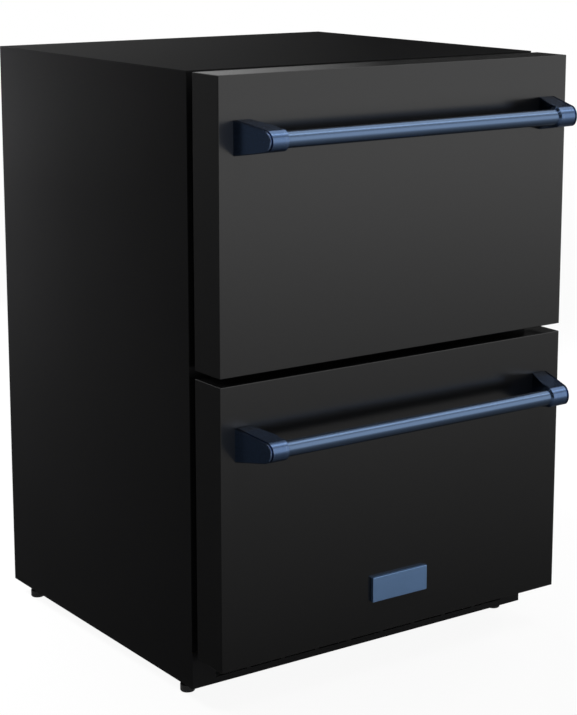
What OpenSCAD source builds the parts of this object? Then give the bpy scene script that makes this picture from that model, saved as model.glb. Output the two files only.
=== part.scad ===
// Undercounter refrigerator with two pull-out drawers.
// X runs to the right seen from the front, the drawer fronts face -Y, and Z is up.
// The origin lies on the floor, under the middle of the whole outline with its handles.

/* [Cabinet] */
// Width over the side panels
cab_w = 600; // [560:5:640]
// Depth from the front edge of the side panels to their rear edge
cab_d = 538; // [520:2:580]
// Height from the lower edge of the side panels to the top
cab_h = 855; // [835:5:900]
// Thickness of the steel sheet
sheet_t = 1.2; // [0.8:0.1:1.6]
// Thickness of the foam behind the liners
foam_t = 36; // [32:1:42]
// Wall of the moulded liners
liner_t = 2; // [1.5:0.5:3]
// Thickness of the front frame
frame_t = 1.5; // [1:0.5:2.5]
// How far the rear panels sit inside the rear edge
rear_inset = 4; // [3:0.5:6]
// Width of the folded flange on the sheets
flange_w = 14; // [10:1:18]

/* [Openings] */
// Height of the frame above the upper compartment
top_rail_h = 42; // [36:1:52]
// Height of the bar between the compartments
mullion_h = 48; // [44:1:60]
// Depth of the folded channel behind that bar
mullion_d = 32; // [24:1:40]
// Height of the frame between toe kick and lower compartment
sill_h = 30; // [26:1:40]
// Height of the toe kick
toe_h = 53; // [48:1:60]
// Thickness of the toe kick's plate
toe_t = 1.3; // [1:0.1:2]
// From the cabinet's side to the first air slot
toe_slot_side = 38; // [36:1:48]
// Length of one air slot in the toe kick
toe_slot_w = 52; // [40:1:54]
// Height of one air slot
toe_slot_h = 7; // [5:0.5:8]
// Air slots side by side
toe_slot_count = 9; // [5:1:9]
// Rows of air slots
toe_rows = 3; // [1:1:3]
// Height of the lowest slot above the cabinet's lower edge
toe_slot_z = 9.5; // [6:0.5:10]

/* [Machine space] */
// Depth of the machine space at the lower rear
machine_d = 196; // [190:2:210]
// Height of the machine space above the cabinet's lower edge
machine_h = 216; // [212:2:230]
// Thickness of the base pan
pan_t = 1.5; // [1.2:0.1:2.5]
// Length of one louvre slot in the rear cover
louvre_w = 70; // [50:2:76]
// Height of one louvre slot
louvre_h = 6; // [4:0.5:8]
// Distance from one row of louvres to the next
louvre_pitch = 16; // [12:1:18]
// Rows of louvres
louvre_rows = 7; // [4:1:8]

/* [Drawer fronts] */
// Thickness of a drawer front
front_t = 62; // [54:1:70]
// Gap between a drawer front and the cabinet, filled by the gasket
seal_gap = 14; // [12:1:16]
// How far a drawer front stays inside the cabinet's side
front_side = 0.5; // [0.5:0.5:3]
// How far the upper front stays below the cabinet's top
front_drop = 1; // [1:0.5:4]
// Gap between the two fronts
front_split = 11.5; // [8:0.5:14]
// How far the lower front covers the toe kick
toe_cover = 4.5; // [2:0.5:8]
// Steel skin of a drawer front
skin_t = 1; // [0.8:0.1:1.5]
// Inner panel of a drawer front
panel_t = 3; // [2:0.5:4]
// Height of the inner panel's raised middle
plug_t = 6; // [4:0.5:8]
// Width of the gasket
seal_w = 14; // [12:0.5:14]
// How far the gasket starts outside the opening
seal_out = 1.5; // [1:0.5:2]

/* [Handles] */
// Diameter of the handle's bar
bar_d = 22.2; // [18:0.2:24]
// Diameter of the bracket's nose
nose_d = 29.3; // [27:0.1:34]
// Distance from the drawer front to the tip of the nose
handle_reach = 64.4; // [58:0.2:72]
// Height of a bracket where it meets the drawer front
root_h = 46.6; // [40:0.2:54]
// Width of a bracket where it meets the drawer front
root_w = 27.5; // [24:0.5:32]
// From the side of the drawer front to the bracket
root_inset = 22.5; // [16:0.5:40]
// How far the bracket's outer face leans inwards from root to nose
lean = 13.8; // [8:0.2:18]
// Width of the bracket's round nose at its tip
nose_w = 27.2; // [22:0.1:32]
// Length of the cone from the nose to the bar
collar_l = 5; // [3:0.5:7]
// Wall of that cone where it ends on the bar
collar_lip = 0.6; // [0.4:0.1:1.5]
// Length of the bar inside a bracket
spigot_l = 14; // [10:0.5:16]
// Bar's axis below the top of the drawer front
handle_drop = 81.5; // [70:0.5:110]
// Diameter of the stud that holds a bracket
stud_d = 6; // [5:0.5:8]
// Length of that stud behind the drawer front's face
stud_l = 14; // [10:1:20]

/* [Badge plate] */
// Width of the bare badge plate
badge_w = 97.5; // [80:0.5:120]
// Height of the plate
badge_h = 36.4; // [28:0.2:44]
// Thickness of the plate
badge_t = 6; // [3:0.5:7]
// Middle of the plate above the lower edge of the lower front
badge_up = 66.7; // [50:0.1:90]

/* [Levelling feet] */
// Height of the cabinet's lower edge above the floor
foot_h = 19; // [17:0.5:30]
// Diameter of a foot's pad
foot_d = 21.2; // [20:0.2:28]
// Height of a foot's pad
foot_pad_h = 12; // [8:0.5:13]
// Diameter of a foot's threaded stem
stem_d = 8; // [6:0.5:10]
// Length of the stem above the base pan
stem_l = 26; // [14:1:30]
// From the side of the cabinet to a foot's axis
foot_side = 17; // [16.5:0.5:24]
// From the cabinet's front to the front feet
foot_front = 39.5; // [30:0.5:60]
// From the cabinet's rear edge to the rear feet
foot_rear = 45.4; // [30:0.2:60]
// Height of the nut welded to the base pan
nut_h = 7; // [5:0.5:9]

/* [Drawers] */
// Travel of a drawer
travel = 400; // [300:10:400]
// Height of the slides' profile
slide_h = 45; // [40:1:50]
// Length of a slide's fixed member
slide_l = 410; // [405:1:415]
// Thickness of the whole slide
slide_t = 12.7; // [12.2:0.1:13.5]
// Steel of the slide members
slide_wall = 1.2; // [1:0.1:1.4]
// Running gap between slide members
slide_gap = 0.7; // [0.5:0.1:0.8]
// Height of the upper slides' middle above their compartment's floor
slide_up_z = 110; // [80:2:160]
// Height of the lower slides' middle above the hump over the machine space
slide_low_z = 36; // [30:2:60]
// Wall of a bin
bin_wall = 3; // [2:0.5:4]
// Depth of a bin from front to rear
bin_d = 410; // [406:1:414]
// Height of the upper bin
bin_up_h = 252; // [200:2:256]
// Height of the lower bin
bin_low_h = 296; // [270:2:300]
// Clearance under and behind a bin
bin_gap = 8; // [6:1:12]
// Width of the rim around a bin's top
rim_w = 6; // [4:0.5:8]

/* [Controls and light] */
// Width of the control housing
panel_w = 210; // [180:2:260]
// Height of the control housing
panel_h = 30; // [26:1:34]
// Depth of the control housing
panel_d = 40; // [30:1:50]
// Width of a key
key_w = 16; // [12:0.5:20]
// Height of a key
key_h = 9; // [7:0.5:12]
// Length of a key from its face to its rear end
key_l = 9; // [8:0.5:12]
// How far a key stands proud
key_proud = 1.6; // [1.4:0.1:2.5]
// Travel of a key
key_travel = 1.2; // [0.8:0.1:1.3]
// Distance from key to key
key_pitch = 26; // [24:0.5:30]
// Length of a lamp
lamp_l = 150; // [100:5:240]
// Width of a lamp
lamp_w = 18; // [14:1:24]
// Height of a lamp
lamp_h = 8; // [6:0.5:10]

/* [Cooling] */
// Diameter of the compressor's shell
shell_d = 138; // [120:1:142]
// Height of the compressor's shell
shell_h = 148; // [120:1:150]
// Height of a rubber mount under the compressor
mount_h = 12; // [10:0.5:14]
// Diameter of the condenser fan's wheel
cfan_d = 112; // [90:1:120]
// Diameter of the evaporator fan's wheel
efan_d = 92; // [70:1:100]
// Depth of the space behind the evaporator's cover
duct_d = 42; // [40:1:46]
// Thickness of that cover
cover_t = 3; // [2:0.5:4]
// Gap before and behind the evaporator
evap_gap = 6; // [4:0.5:8]
// Height of the evaporator
evap_h = 132; // [110:2:140]
// Height of the evaporator's feet
evap_foot_h = 12; // [8:1:16]
// From the liner's side to the evaporator
evap_side = 50; // [40:2:70]
// Depth of the evaporator fan's wheel
efan_depth = 12; // [8:1:13]
// Length of the evaporator fan's motor
efan_motor_l = 16; // [14:1:18]
// Depth of the condenser fan's wheel
cfan_depth = 22; // [16:1:24]
// Length of the condenser fan's motor
cfan_motor_l = 26; // [20:1:30]
// Width of the condenser
condenser_w = 84; // [70:2:90]
// Depth of the condenser
condenser_d = 110; // [90:2:120]
// From the condenser to the fan's plate
condenser_gap = 34; // [30:1:40]
// From the side of the machine space to the condenser
condenser_side = 16; // [12:1:20]
// From the side of the machine space to the compressor's shell
shell_side = 70; // [66:1:80]
// How far the compressor's foot plate stands out sideways
comp_foot_out = 20; // [16:1:24]
// Width of the control box
box_w = 100; // [80:2:110]
// Depth of the control box
box_d = 100; // [80:2:110]
// Height of the control box
box_h = 34; // [26:1:40]
// From the condenser fan to the control box
box_gap = 60; // [40:2:64]
// How far the drip tray stands out over the compressor's shell
tray_out = 15; // [8:1:15]
// Height of the drip tray
tray_h = 20; // [16:1:24]
// Diameter of the filter drier
drier_d = 19; // [16:1:22]
// Length of the filter drier
drier_l = 60; // [40:2:70]
// From the compressor's middle to the bends beside it
bend_out = 100; // [96:1:106]
// Thickness of a fin
fin_t = 0.6; // [0.4:0.1:1]
// Distance from fin to fin
fin_pitch = 9; // [6:0.5:14]
// Diameter of the refrigerant tube
tube_d = 8; // [6:0.5:10]
// Bore of the cord gland
gland_bore = 9; // [7:0.5:11]

/* [Hidden] */
$fn = 64;
// Running clearance of a shaft, and of a piece that slides beside another
fit_gap = 0.05;
slip_gap = 0.3;
spring_side = 2;

// Places from front to rear
total_d = handle_reach + front_t + seal_gap + cab_d;
y_nose = -total_d / 2;
y_face = y_nose + handle_reach;
y_panel = y_face + front_t;
y_cab = y_panel + seal_gap;
y_back = y_cab + cab_d;
y_rear = y_back - rear_inset;
y_sheet = y_rear - sheet_t;
y_liner = y_cab + frame_t;
y_in = y_sheet - foam_t - liner_t;
y_machine = y_sheet - machine_d;
y_step = y_machine - sheet_t - foam_t - liner_t;
y_cover = y_in - duct_d;

// Places from the floor up
z_cab = foot_h;
z_pan = z_cab + pan_t;
z_top = z_cab + cab_h;
z_toe = z_cab + toe_h;
z_machine = z_cab + machine_h;
z_roof = z_machine - sheet_t;
z_hump = z_machine + foam_t + liner_t;
front_h = (cab_h - front_drop - front_split - toe_h + toe_cover) / 2;
low_z0 = z_toe - toe_cover;
low_z1 = low_z0 + front_h;
up_z0 = low_z1 + front_split;
up_z1 = up_z0 + front_h;
z_mid = (low_z1 + up_z0) / 2;
lo0 = z_toe + sill_h;
lo1 = z_mid - mullion_h / 2;
hi0 = z_mid + mullion_h / 2;
hi1 = z_top - top_rail_h;
z_belly = lo0 - liner_t - foam_t;

// Places from side to side
half_w = cab_w / 2;
half_in = half_w - sheet_t - foam_t - liner_t;
half_sheet = half_w - sheet_t;
half_front = half_w - front_side;
half_bin = half_in - slide_t;

// Slides and bins
slide_y0 = y_cab + 12;
y_bin = y_panel + plug_t;
slide_up_mid = hi0 + slide_up_z;
slide_low_mid = z_hump + slide_low_z;
lip_gap = 0.3;

// Fans
shaft_d = 4;
plate_t = 3;
arm_w = 5;

// Handles
nose_r = nose_d / 2;
y_axis = y_nose + nose_r;
root_x = half_front - root_inset;
nose_x = root_x - lean;
nose_in = nose_x - nose_w;

// Control panel
y_keys = y_cab + 8;
key_x = [for (i = [0:3]) (i - 1.5) * key_pitch];
key_z = hi1 - panel_h / 2;

// Machine space
y_mid = (y_machine + y_sheet) / 2;
comp_x = half_sheet - shell_d / 2 - shell_side;
comp_foot_t = 3;
z_comp = z_pan + mount_h + comp_foot_t;
comp_foot_x = shell_d / 2 + comp_foot_out;
comp_foot_y = shell_d / 2 - 6;
coil_x = condenser_side - half_sheet;
cfan_x = coil_x + condenser_w + condenser_gap;
cfan_z = z_pan + cfan_d / 2 + 14;
condenser_z = z_pan + 8;
condenser_h = cfan_d + 18;
condenser_rows = 6;
gland_x = -half_w / 2 - 60;
gland_z = z_roof - 24;
gland_l = 18;

// Evaporator
coil_l = 2 * (half_in - evap_side);
evap_d = duct_d - cover_t - 2 * evap_gap;
evap_y = y_cover + cover_t + evap_gap;
evap_z = hi0 + evap_foot_h;
evap_rows = 5;
efan_z = (evap_z + evap_h + hi1) / 2;
wheel_gap = 2;
efan_y = y_cover + cover_t + evap_gap / 2 + efan_depth + wheel_gap;

// Cold line up through the foam behind the liner
line_d = tube_d - 2;
braze = 2;
tube_bore = line_d + 2 * slip_gap;
cold_x = comp_x - bend_out;
cold_y = y_sheet - foam_t / 2;
cold_z = evap_z + evap_h - 20;

// ---- Shared shapes ----

// A block between two corners
module block(x0, x1, y0, y1, z0, z1) {
    translate([x0, y0, z0]) cube([x1 - x0, y1 - y0, z1 - z0]);
}

// A block centred on the middle plane
module wide(half, y0, y1, z0, z1) {
    block(-half, half, y0, y1, z0, z1);
}

// The children and their mirror image on the other side
module pair() {
    children();
    mirror([1, 0, 0]) children();
}

// A side view of [y, z] points, carried along X
module along_x(points, x0, x1) {
    translate([x0, 0, 0]) rotate([90, 0, 90]) linear_extrude(x1 - x0) polygon(points);
}

// A round bar along X or along Y
module rod_x(d, x0, x1) {
    translate([x0, 0, 0]) rotate([0, 90, 0]) cylinder(d = d, h = x1 - x0);
}
module rod_y(d, y0, y1) {
    translate([0, y1, 0]) rotate([90, 0, 0]) cylinder(d = d, h = y1 - y0);
}

// A tube of constant diameter through the points, with a brazed joint at each bend
module pipe(points, d) {
    for (i = [0:len(points) - 2]) {
        run = points[i + 1] - points[i];
        length = norm(run);
        translate(points[i])
            rotate([0, acos(run[2] / length), atan2(run[1], run[0])])
                cylinder(d = d, h = length);
        if (i > 0) translate(points[i]) sphere(d = d + braze);
    }
}

// A rectangular ring in the front plane around an opening, from out0 to out1 outside it
module ring(z0, z1, out0, out1, y0, y1) {
    difference() {
        wide(half_in + out1, y0, y1, z0 - out1, z1 + out1);
        wide(half_in + out0, y0 - 1, y1 + 1, z0 - out0, z1 + out0);
    }
}

// ---- Cabinet ----

module side_panel() {
    color("#2b2b2d") {
        block(half_sheet, half_w, y_cab, y_back, z_cab, z_top - sheet_t);
        block(half_sheet - flange_w, half_sheet, y_rear, y_rear + sheet_t, z_cab, z_top - sheet_t);
    }
}

module side_panel_right() { side_panel(); }
module side_panel_left() { mirror([1, 0, 0]) side_panel(); }

module top_panel() {
    color("#2e2e30") {
        wide(half_w, y_cab, y_back, z_top - sheet_t, z_top);
        wide(half_sheet - flange_w, y_rear, y_rear + sheet_t, z_top - sheet_t - flange_w, z_top - sheet_t);
    }
}

module back_panel() {
    color("#9a9da0") wide(half_sheet, y_sheet, y_rear, z_machine, z_top - sheet_t);
}

// Louvred cover over the machine space, with a hole for the cord gland
module rear_cover() {
    columns = 6;
    column_pitch = louvre_w + 16;
    z0 = z_pan + 40;
    color("#1f1f21") difference() {
        wide(half_sheet, y_sheet, y_rear, z_pan, z_machine);
        for (c = [0:columns - 1], r = [0:louvre_rows - 1])
            translate([
                (c - (columns - 1) / 2) * column_pitch - louvre_w / 2, y_sheet - 1, z0 + r * louvre_pitch
            ]) cube([louvre_w, sheet_t + 2, louvre_h]);
        translate([gland_x, 0, gland_z]) rod_y(gland_bore + 8, y_sheet - 1, y_rear + 1);
    }
}

module foot_places(sides = [-1, 1], ends = [0, 1]) {
    for (s = sides, e = ends)
        translate([s * (half_w - foot_side), e == 0 ? y_cab + foot_front : y_back - foot_rear, 0])
            children();
}

// Floor of the machine space, with side flanges and a welded nut over each foot
module base_pan() {
    color("#8d9093") difference() {
        union() {
            wide(half_sheet, y_cab, y_rear, z_cab, z_pan);
            pair() block(half_sheet - pan_t, half_sheet, y_cab + frame_t, y_sheet, z_pan, z_pan + flange_w);
            foot_places() translate([0, 0, z_pan]) cylinder(d = stem_d + 6, h = nut_h);
        }
        foot_places() translate([0, 0, z_cab - 1])
            cylinder(d = stem_d + 2 * fit_gap, h = pan_t + nut_h + 2);
    }
}

module toe_kick() {
    slot_gap = (2 * (half_w - toe_slot_side) - toe_slot_count * toe_slot_w) / (toe_slot_count - 1);
    row_gap = (toe_h - 2 * toe_slot_z - toe_slot_h) / 2;
    color("#232324") difference() {
        wide(half_w - front_side / 2, y_cab - toe_t, y_cab, z_cab, z_toe);
        for (c = [0:toe_slot_count - 1], r = [0:toe_rows - 1])
            translate([
                (c - (toe_slot_count - 1) / 2) * (toe_slot_w + slot_gap) - toe_slot_w / 2,
                y_cab - toe_t - 1,
                z_cab + toe_slot_z + r * row_gap
            ]) cube([toe_slot_w, toe_t + 2, toe_slot_h]);
    }
}

// Steel face that the gaskets close on
module front_frame() {
    color("#1c1c1e") difference() {
        wide(half_sheet, y_cab, y_liner, z_toe, z_top - sheet_t);
        wide(half_in, y_cab - 1, y_liner + 1, lo0, hi1);
    }
}

// Bar between the compartments: a face and two folded legs between the liners
module centre_mullion() {
    color("#1c1c1e") {
        wide(half_in, y_cab, y_liner, lo1, hi0);
        wide(half_in, y_liner, y_cab + mullion_d, lo1 + liner_t, lo1 + liner_t + frame_t);
        wide(half_in, y_liner, y_cab + mullion_d, hi0 - liner_t - frame_t, hi0 - liner_t);
    }
}

// Stepped sheet under the foam: floor, front wall and roof of the machine space
module bulkhead() {
    t = sheet_t;
    color("#8d9093") difference() {
        along_x([
            [y_liner, z_belly], [y_liner, z_belly - t], [y_machine, z_belly - t],
            [y_machine, z_roof], [y_sheet, z_roof], [y_sheet, z_machine],
            [y_machine - t, z_machine], [y_machine - t, z_belly]
        ], -half_sheet, half_sheet);
        cold_line_hole(z_roof - 1, z_machine + 1);
    }
}

// ---- Liners and foam ----

module upper_room(wall) {
    wide(half_in + wall, wall > 0 ? y_liner : y_liner - 1, y_in + wall, hi0 - wall, hi1 + wall);
}

// The lower room steps up over the machine space
module lower_room(wall) {
    y0 = wall > 0 ? y_liner : y_liner - 1;
    along_x([
        [y0, lo0 - wall], [y_step + wall, lo0 - wall], [y_step + wall, z_hump - wall],
        [y_in + wall, z_hump - wall], [y_in + wall, lo1 + wall], [y0, lo1 + wall]
    ], -half_in - wall, half_in + wall);
}

module liner_upper() {
    color("#e9eaeb") difference() {
        upper_room(liner_t);
        upper_room(0);
        translate([cold_x, 0, cold_z]) rod_y(tube_bore, y_in - 1, y_in + liner_t + 1);
    }
}

module liner_lower() {
    color("#e9eaeb") difference() { lower_room(liner_t); lower_room(0); }
}

module insulation() {
    color("#e8d9a8") difference() {
        wide(half_sheet, y_liner, y_sheet, z_belly, z_top - sheet_t);
        upper_room(liner_t);
        lower_room(liner_t);
        wide(half_in, y_liner - 1, y_cab + mullion_d, lo1 + liner_t, hi0 - liner_t);
        wide(half_sheet + 1, y_machine - sheet_t, y_sheet + 1, z_belly - 1, z_machine);
        cold_line_hole(z_machine - 1, cold_z);
        translate([cold_x, 0, cold_z]) rod_y(tube_bore, y_in, cold_y);
        translate([cold_x, cold_y, cold_z]) sphere(d = tube_bore + braze);
    }
}

// Way for the cold line up through the foam
module cold_line_hole(z0, z1) {
    translate([cold_x, cold_y, z0]) cylinder(d = tube_bore, h = z1 - z0);
}

// ---- Slides ----

// One folded channel on the right-hand wall: a web from u0 to u1 off the wall, lips to lip_u
module channel(mid, u0, u1, lip_u, half_h, y0, y1) {
    block(half_in - u1, half_in - u0, y0, y1, mid - half_h, mid + half_h);
    for (s = [0, 1])
        translate([0, 0, s == 0 ? mid - half_h : mid + half_h - slide_wall])
            block(half_in - max(u1, lip_u), half_in - min(u0, lip_u), y0, y1, 0, slide_wall);
}

fixed_half = slide_h / 2;
mid_half = fixed_half - slide_wall - slide_gap;
run_half = mid_half - slide_wall - slide_gap;
mid_u = slide_wall + slide_gap;

module fixed_rail(mid) {
    color("#b9bcc0")
        channel(mid, 0, slide_wall, slide_t - 2, fixed_half, slide_y0, slide_y0 + slide_l);
}

module mid_member(mid) {
    color("#aeb2b6")
        channel(mid, mid_u, mid_u + slide_wall, slide_t - slide_wall - lip_gap, mid_half,
            slide_y0, slide_y0 + slide_l);
}

module runner(mid) {
    color("#c3c6ca")
        channel(mid, slide_t - slide_wall, slide_t, mid_u + slide_wall + slide_gap, run_half,
            y_bin, slide_y0 + slide_l);
}

module rails_upper() { pair() fixed_rail(slide_up_mid); }
module rails_lower() { pair() fixed_rail(slide_low_mid); }
module mid_upper_right() { mid_member(slide_up_mid); }
module mid_upper_left() { mirror([1, 0, 0]) mid_member(slide_up_mid); }
module mid_lower_right() { mid_member(slide_low_mid); }
module mid_lower_left() { mirror([1, 0, 0]) mid_member(slide_low_mid); }
module runners_upper() { pair() runner(slide_up_mid); }
module runners_lower() { pair() runner(slide_low_mid); }

// ---- Drawers ----

// Steel pan of a drawer front, open at the rear
module front_skin(z0) {
    color("#2a2a2b") difference() {
        wide(half_front, y_face, y_panel, z0, z0 + front_h);
        wide(half_front - skin_t, y_face + skin_t, y_panel + 1, z0 + skin_t, z0 + front_h - skin_t);
        stud_holes(z0, skin_t);
    }
}

// Room for the handle's studs behind a drawer front's face
module stud_holes(z0, depth) {
    pair() translate([root_x - root_w / 2, 0, z0 + front_h - handle_drop])
        rod_y(stud_d + 2 * slip_gap, y_face - 1, y_face + depth);
}

module front_foam(z0) {
    color("#e8d9a8") difference() {
        wide(half_front - skin_t, y_face + skin_t, y_panel - panel_t, z0 + skin_t, z0 + front_h - skin_t);
        stud_holes(z0, stud_l + slip_gap);
    }
}

// Inner panel with a raised middle that stands in the opening's mouth
module inner_panel(z0, open0, open1) {
    margin = 6;
    color("#e4e5e6") {
        wide(half_front - skin_t, y_panel - panel_t, y_panel, z0 + skin_t, z0 + front_h - skin_t);
        wide(half_in - margin, y_panel, y_bin, open0 + margin, open1 - margin);
    }
}

// Gasket: foot, narrow bellows and magnetic head, just clear of the frame
module gasket(open0, open1) {
    foot = 2.5;
    neck = (seal_w - 6) / 2;
    head = (seal_gap - foot) * 0.55;
    color("#121213") {
        ring(open0, open1, seal_out, seal_out + seal_w, y_panel, y_panel + foot);
        ring(open0, open1, seal_out + neck, seal_out + seal_w - neck, y_panel + foot, y_cab - head);
        ring(open0, open1, seal_out + 1, seal_out + seal_w - 1, y_cab - head, y_cab - slip_gap);
    }
}

// Side view of a bracket: the root's straight edges run tangent to the round nose
function tangent_turn(run, rise, r) = atan2(rise, run) + asin(r / norm([run, rise]));

module bracket_side(axis_z) {
    run = y_face - y_axis;
    turn = tangent_turn(run, root_h / 2, nose_r) - 2 * atan2(root_h / 2, run);
    touch = [y_axis + nose_r * sin(turn), nose_r * cos(turn)];
    translate([nose_in, 0, 0]) rotate([90, 0, 90]) linear_extrude(root_x - nose_in + 1) {
        polygon([
            [y_face, axis_z + root_h / 2], [touch[0], axis_z + touch[1]],
            [touch[0], axis_z - touch[1]], [y_face, axis_z - root_h / 2]
        ]);
        translate([y_axis, axis_z]) circle(r = nose_r);
    }
}

// Right-hand bracket: leans inwards, and ends in a cone around the bar
module bracket(axis_z) {
    color("#2c3f66") difference() {
        union() {
            intersection() {
                bracket_side(axis_z);
                translate([0, 0, axis_z - root_h]) linear_extrude(2 * root_h) polygon([
                    [root_x, y_face], [root_x - root_w, y_face], [nose_in, y_axis + nose_r],
                    [nose_in, y_nose - 1], [nose_x, y_nose]
                ]);
            }
            translate([nose_in - collar_l, y_axis, axis_z]) rotate([0, 90, 0])
                cylinder(r1 = bar_d / 2 + collar_lip, r2 = nose_r, h = collar_l);
            translate([root_x - root_w / 2, 0, axis_z]) rod_y(stud_d, y_face - 1, y_face + stud_l);
        }
        translate([0, y_axis, axis_z])
            rod_x(bar_d + 2 * fit_gap, nose_in - collar_l - 1, nose_in - collar_l + spigot_l);
    }
}

module handle_brackets(z0) { pair() bracket(z0 + front_h - handle_drop); }

module handle_bar(z0) {
    reach = nose_in - collar_l + spigot_l;
    color("#3d5684") translate([0, y_axis, z0 + front_h - handle_drop]) rod_x(bar_d, -reach, reach);
}

// Side view of the upper bin, drawn in by wall on every side but the top
function bin_up_view(wall) = [
    [y_bin + wall, hi0 + bin_gap + wall], [y_bin + bin_d - wall, hi0 + bin_gap + wall],
    [y_bin + bin_d - wall, hi0 + bin_gap + bin_up_h + (wall > 0 ? 1 : 0)],
    [y_bin + wall, hi0 + bin_gap + bin_up_h + (wall > 0 ? 1 : 0)]
];

// Side view of the lower bin, which steps up over the hump
function bin_low_view(wall) = [
    [y_bin + wall, lo0 + bin_gap + wall], [y_step - bin_gap - wall, lo0 + bin_gap + wall],
    [y_step - bin_gap - wall, z_hump + bin_gap + wall],
    [y_bin + bin_d - wall, z_hump + bin_gap + wall],
    [y_bin + bin_d - wall, lo0 + bin_gap + bin_low_h + (wall > 0 ? 1 : 0)],
    [y_bin + wall, lo0 + bin_gap + bin_low_h + (wall > 0 ? 1 : 0)]
];

module bin(outer, inner, top) {
    color("#dfe3e6") {
        difference() {
            along_x(outer, -half_bin, half_bin);
            along_x(inner, -half_bin + bin_wall, half_bin - bin_wall);
        }
        pair() block(half_bin, half_bin + rim_w, y_bin, y_bin + bin_d, top - bin_wall, top);
    }
}

module bin_upper() { bin(bin_up_view(0), bin_up_view(bin_wall), hi0 + bin_gap + bin_up_h); }
module bin_lower() { bin(bin_low_view(0), bin_low_view(bin_wall), lo0 + bin_gap + bin_low_h); }

module front_upper() { front_skin(up_z0); }
module front_lower() { front_skin(low_z0); }
module front_foam_upper() { front_foam(up_z0); }
module front_foam_lower() { front_foam(low_z0); }
module inner_panel_upper() { inner_panel(up_z0, hi0, hi1); }
module inner_panel_lower() { inner_panel(low_z0, lo0, lo1); }
module gasket_upper() { gasket(hi0, hi1); }
module gasket_lower() { gasket(lo0, lo1); }
module handle_bar_upper() { handle_bar(up_z0); }
module handle_bar_lower() { handle_bar(low_z0); }
module handle_brackets_upper() { handle_brackets(up_z0); }
module handle_brackets_lower() { handle_brackets(low_z0); }

// Bare plate in the badge's place
module badge_plate() {
    color("#6f8fbd")
        wide(badge_w / 2, y_face - badge_t, y_face, low_z0 + badge_up - badge_h / 2,
            low_z0 + badge_up + badge_h / 2);
}

// ---- Feet ----

// Pad, hexagon for the spanner and threaded stem
module levelling_foot() {
    hex_h = z_cab - foot_pad_h - slip_gap;
    color("#1a1a1b") {
        cylinder(d1 = foot_d - 1.5, d2 = foot_d, h = 1.5);
        translate([0, 0, 1.5]) cylinder(d = foot_d, h = foot_pad_h - 1.5);
        translate([0, 0, foot_pad_h]) cylinder(d = stem_d + 6, h = hex_h, $fn = 6);
        translate([0, 0, foot_pad_h]) cylinder(d = stem_d, h = z_pan + stem_l - foot_pad_h);
    }
}

module foot_front_left() { foot_places([-1], [0]) levelling_foot(); }
module foot_front_right() { foot_places([1], [0]) levelling_foot(); }
module foot_rear_left() { foot_places([-1], [1]) levelling_foot(); }
module foot_rear_right() { foot_places([1], [1]) levelling_foot(); }

// ---- Controls and light ----

module key_pockets(gap, y0, y1) {
    for (x = key_x)
        block(x - key_w / 2 - gap, x + key_w / 2 + gap, y0, y1,
            key_z - key_h / 2 - gap, key_z + key_h / 2 + gap);
}

// Housing under the ceiling, just behind the opening's mouth
module control_panel() {
    color("#3a3b3d") difference() {
        wide(panel_w / 2, y_keys, y_keys + panel_d, hi1 - panel_h, hi1);
        key_pockets(slip_gap, y_keys - 1, y_keys + key_l + spring_side);
    }
}

module key(i) {
    color("#d8d9da")
        block(key_x[i] - key_w / 2, key_x[i] + key_w / 2, y_keys - key_proud,
            y_keys - key_proud + key_l, key_z - key_h / 2, key_z + key_h / 2);
}

module key_power() { key(0); }
module key_colder() { key(1); }
module key_warmer() { key(2); }
module key_light() { key(3); }

module led_lamps() {
    y0 = y_keys + panel_d + 30;
    color("#f4f6f0") {
        wide(lamp_l / 2, y0, y0 + lamp_w, hi1 - lamp_h, hi1);
        wide(lamp_l / 2, y0, y0 + lamp_w, lo1 - lamp_h, lo1);
    }
}

// ---- Fans ----

// Hub and tilted blades around the Z axis, with a shaft behind the hub
module fan_wheel(d, depth, shaft_l) {
    hub_d = d * 0.34;
    blades = 5;
    color("#26282a") {
        cylinder(d = hub_d, h = depth);
        translate([0, 0, -shaft_l]) cylinder(d = shaft_d, h = shaft_l + 1);
        intersection() {
            cylinder(d = d, h = depth);
            for (i = [0:blades - 1]) rotate([0, 0, i * 360 / blades])
                translate([hub_d / 2 - 2, 0, depth / 2]) rotate([35, 0, 0])
                    translate([0, -d * 0.17, -0.9]) cube([d / 2, d * 0.34, 1.8]);
        }
    }
}

// Square plate with a round mouth, three arms and the motor that carries the wheel
module fan_motor(d, plate, motor_l) {
    motor_d = d * 0.36;
    mouth_d = d + 6;
    color("#303236") difference() {
        union() {
            translate([-plate / 2, -plate / 2, -plate_t]) difference() {
                cube([plate, plate, plate_t]);
                translate([plate / 2, plate / 2, -1]) cylinder(d = mouth_d, h = plate_t + 2);
            }
            translate([0, 0, -motor_l]) cylinder(d = motor_d, h = motor_l);
            for (a = [90, 210, 330]) rotate([0, 0, a])
                block(motor_d / 2 - 1, mouth_d / 2 + 1, -arm_w / 2, arm_w / 2, -plate_t, 0);
        }
        translate([0, 0, -motor_l * 0.8]) cylinder(d = shaft_d + 2 * fit_gap, h = motor_l);
    }
}

module at_efan() {
    translate([0, efan_y, efan_z]) rotate([90, 0, 0]) children();
}

module at_cfan() {
    translate([cfan_x, y_mid, cfan_z]) rotate([0, -90, 0]) children();
}

module evaporator_fan_motor() {
    at_efan() fan_motor(efan_d, efan_d + 16, efan_motor_l);
    // Two lugs hold the plate on the rear of the cover
    color("#303236") pair()
        block(efan_d / 2 + 1, efan_d / 2 + 8, y_cover + cover_t, efan_y + plate_t, efan_z - 6, efan_z + 6);
}

module evaporator_fan_wheel() {
    at_efan() translate([0, 0, wheel_gap]) fan_wheel(efan_d, efan_depth, efan_motor_l / 2);
}

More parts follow.
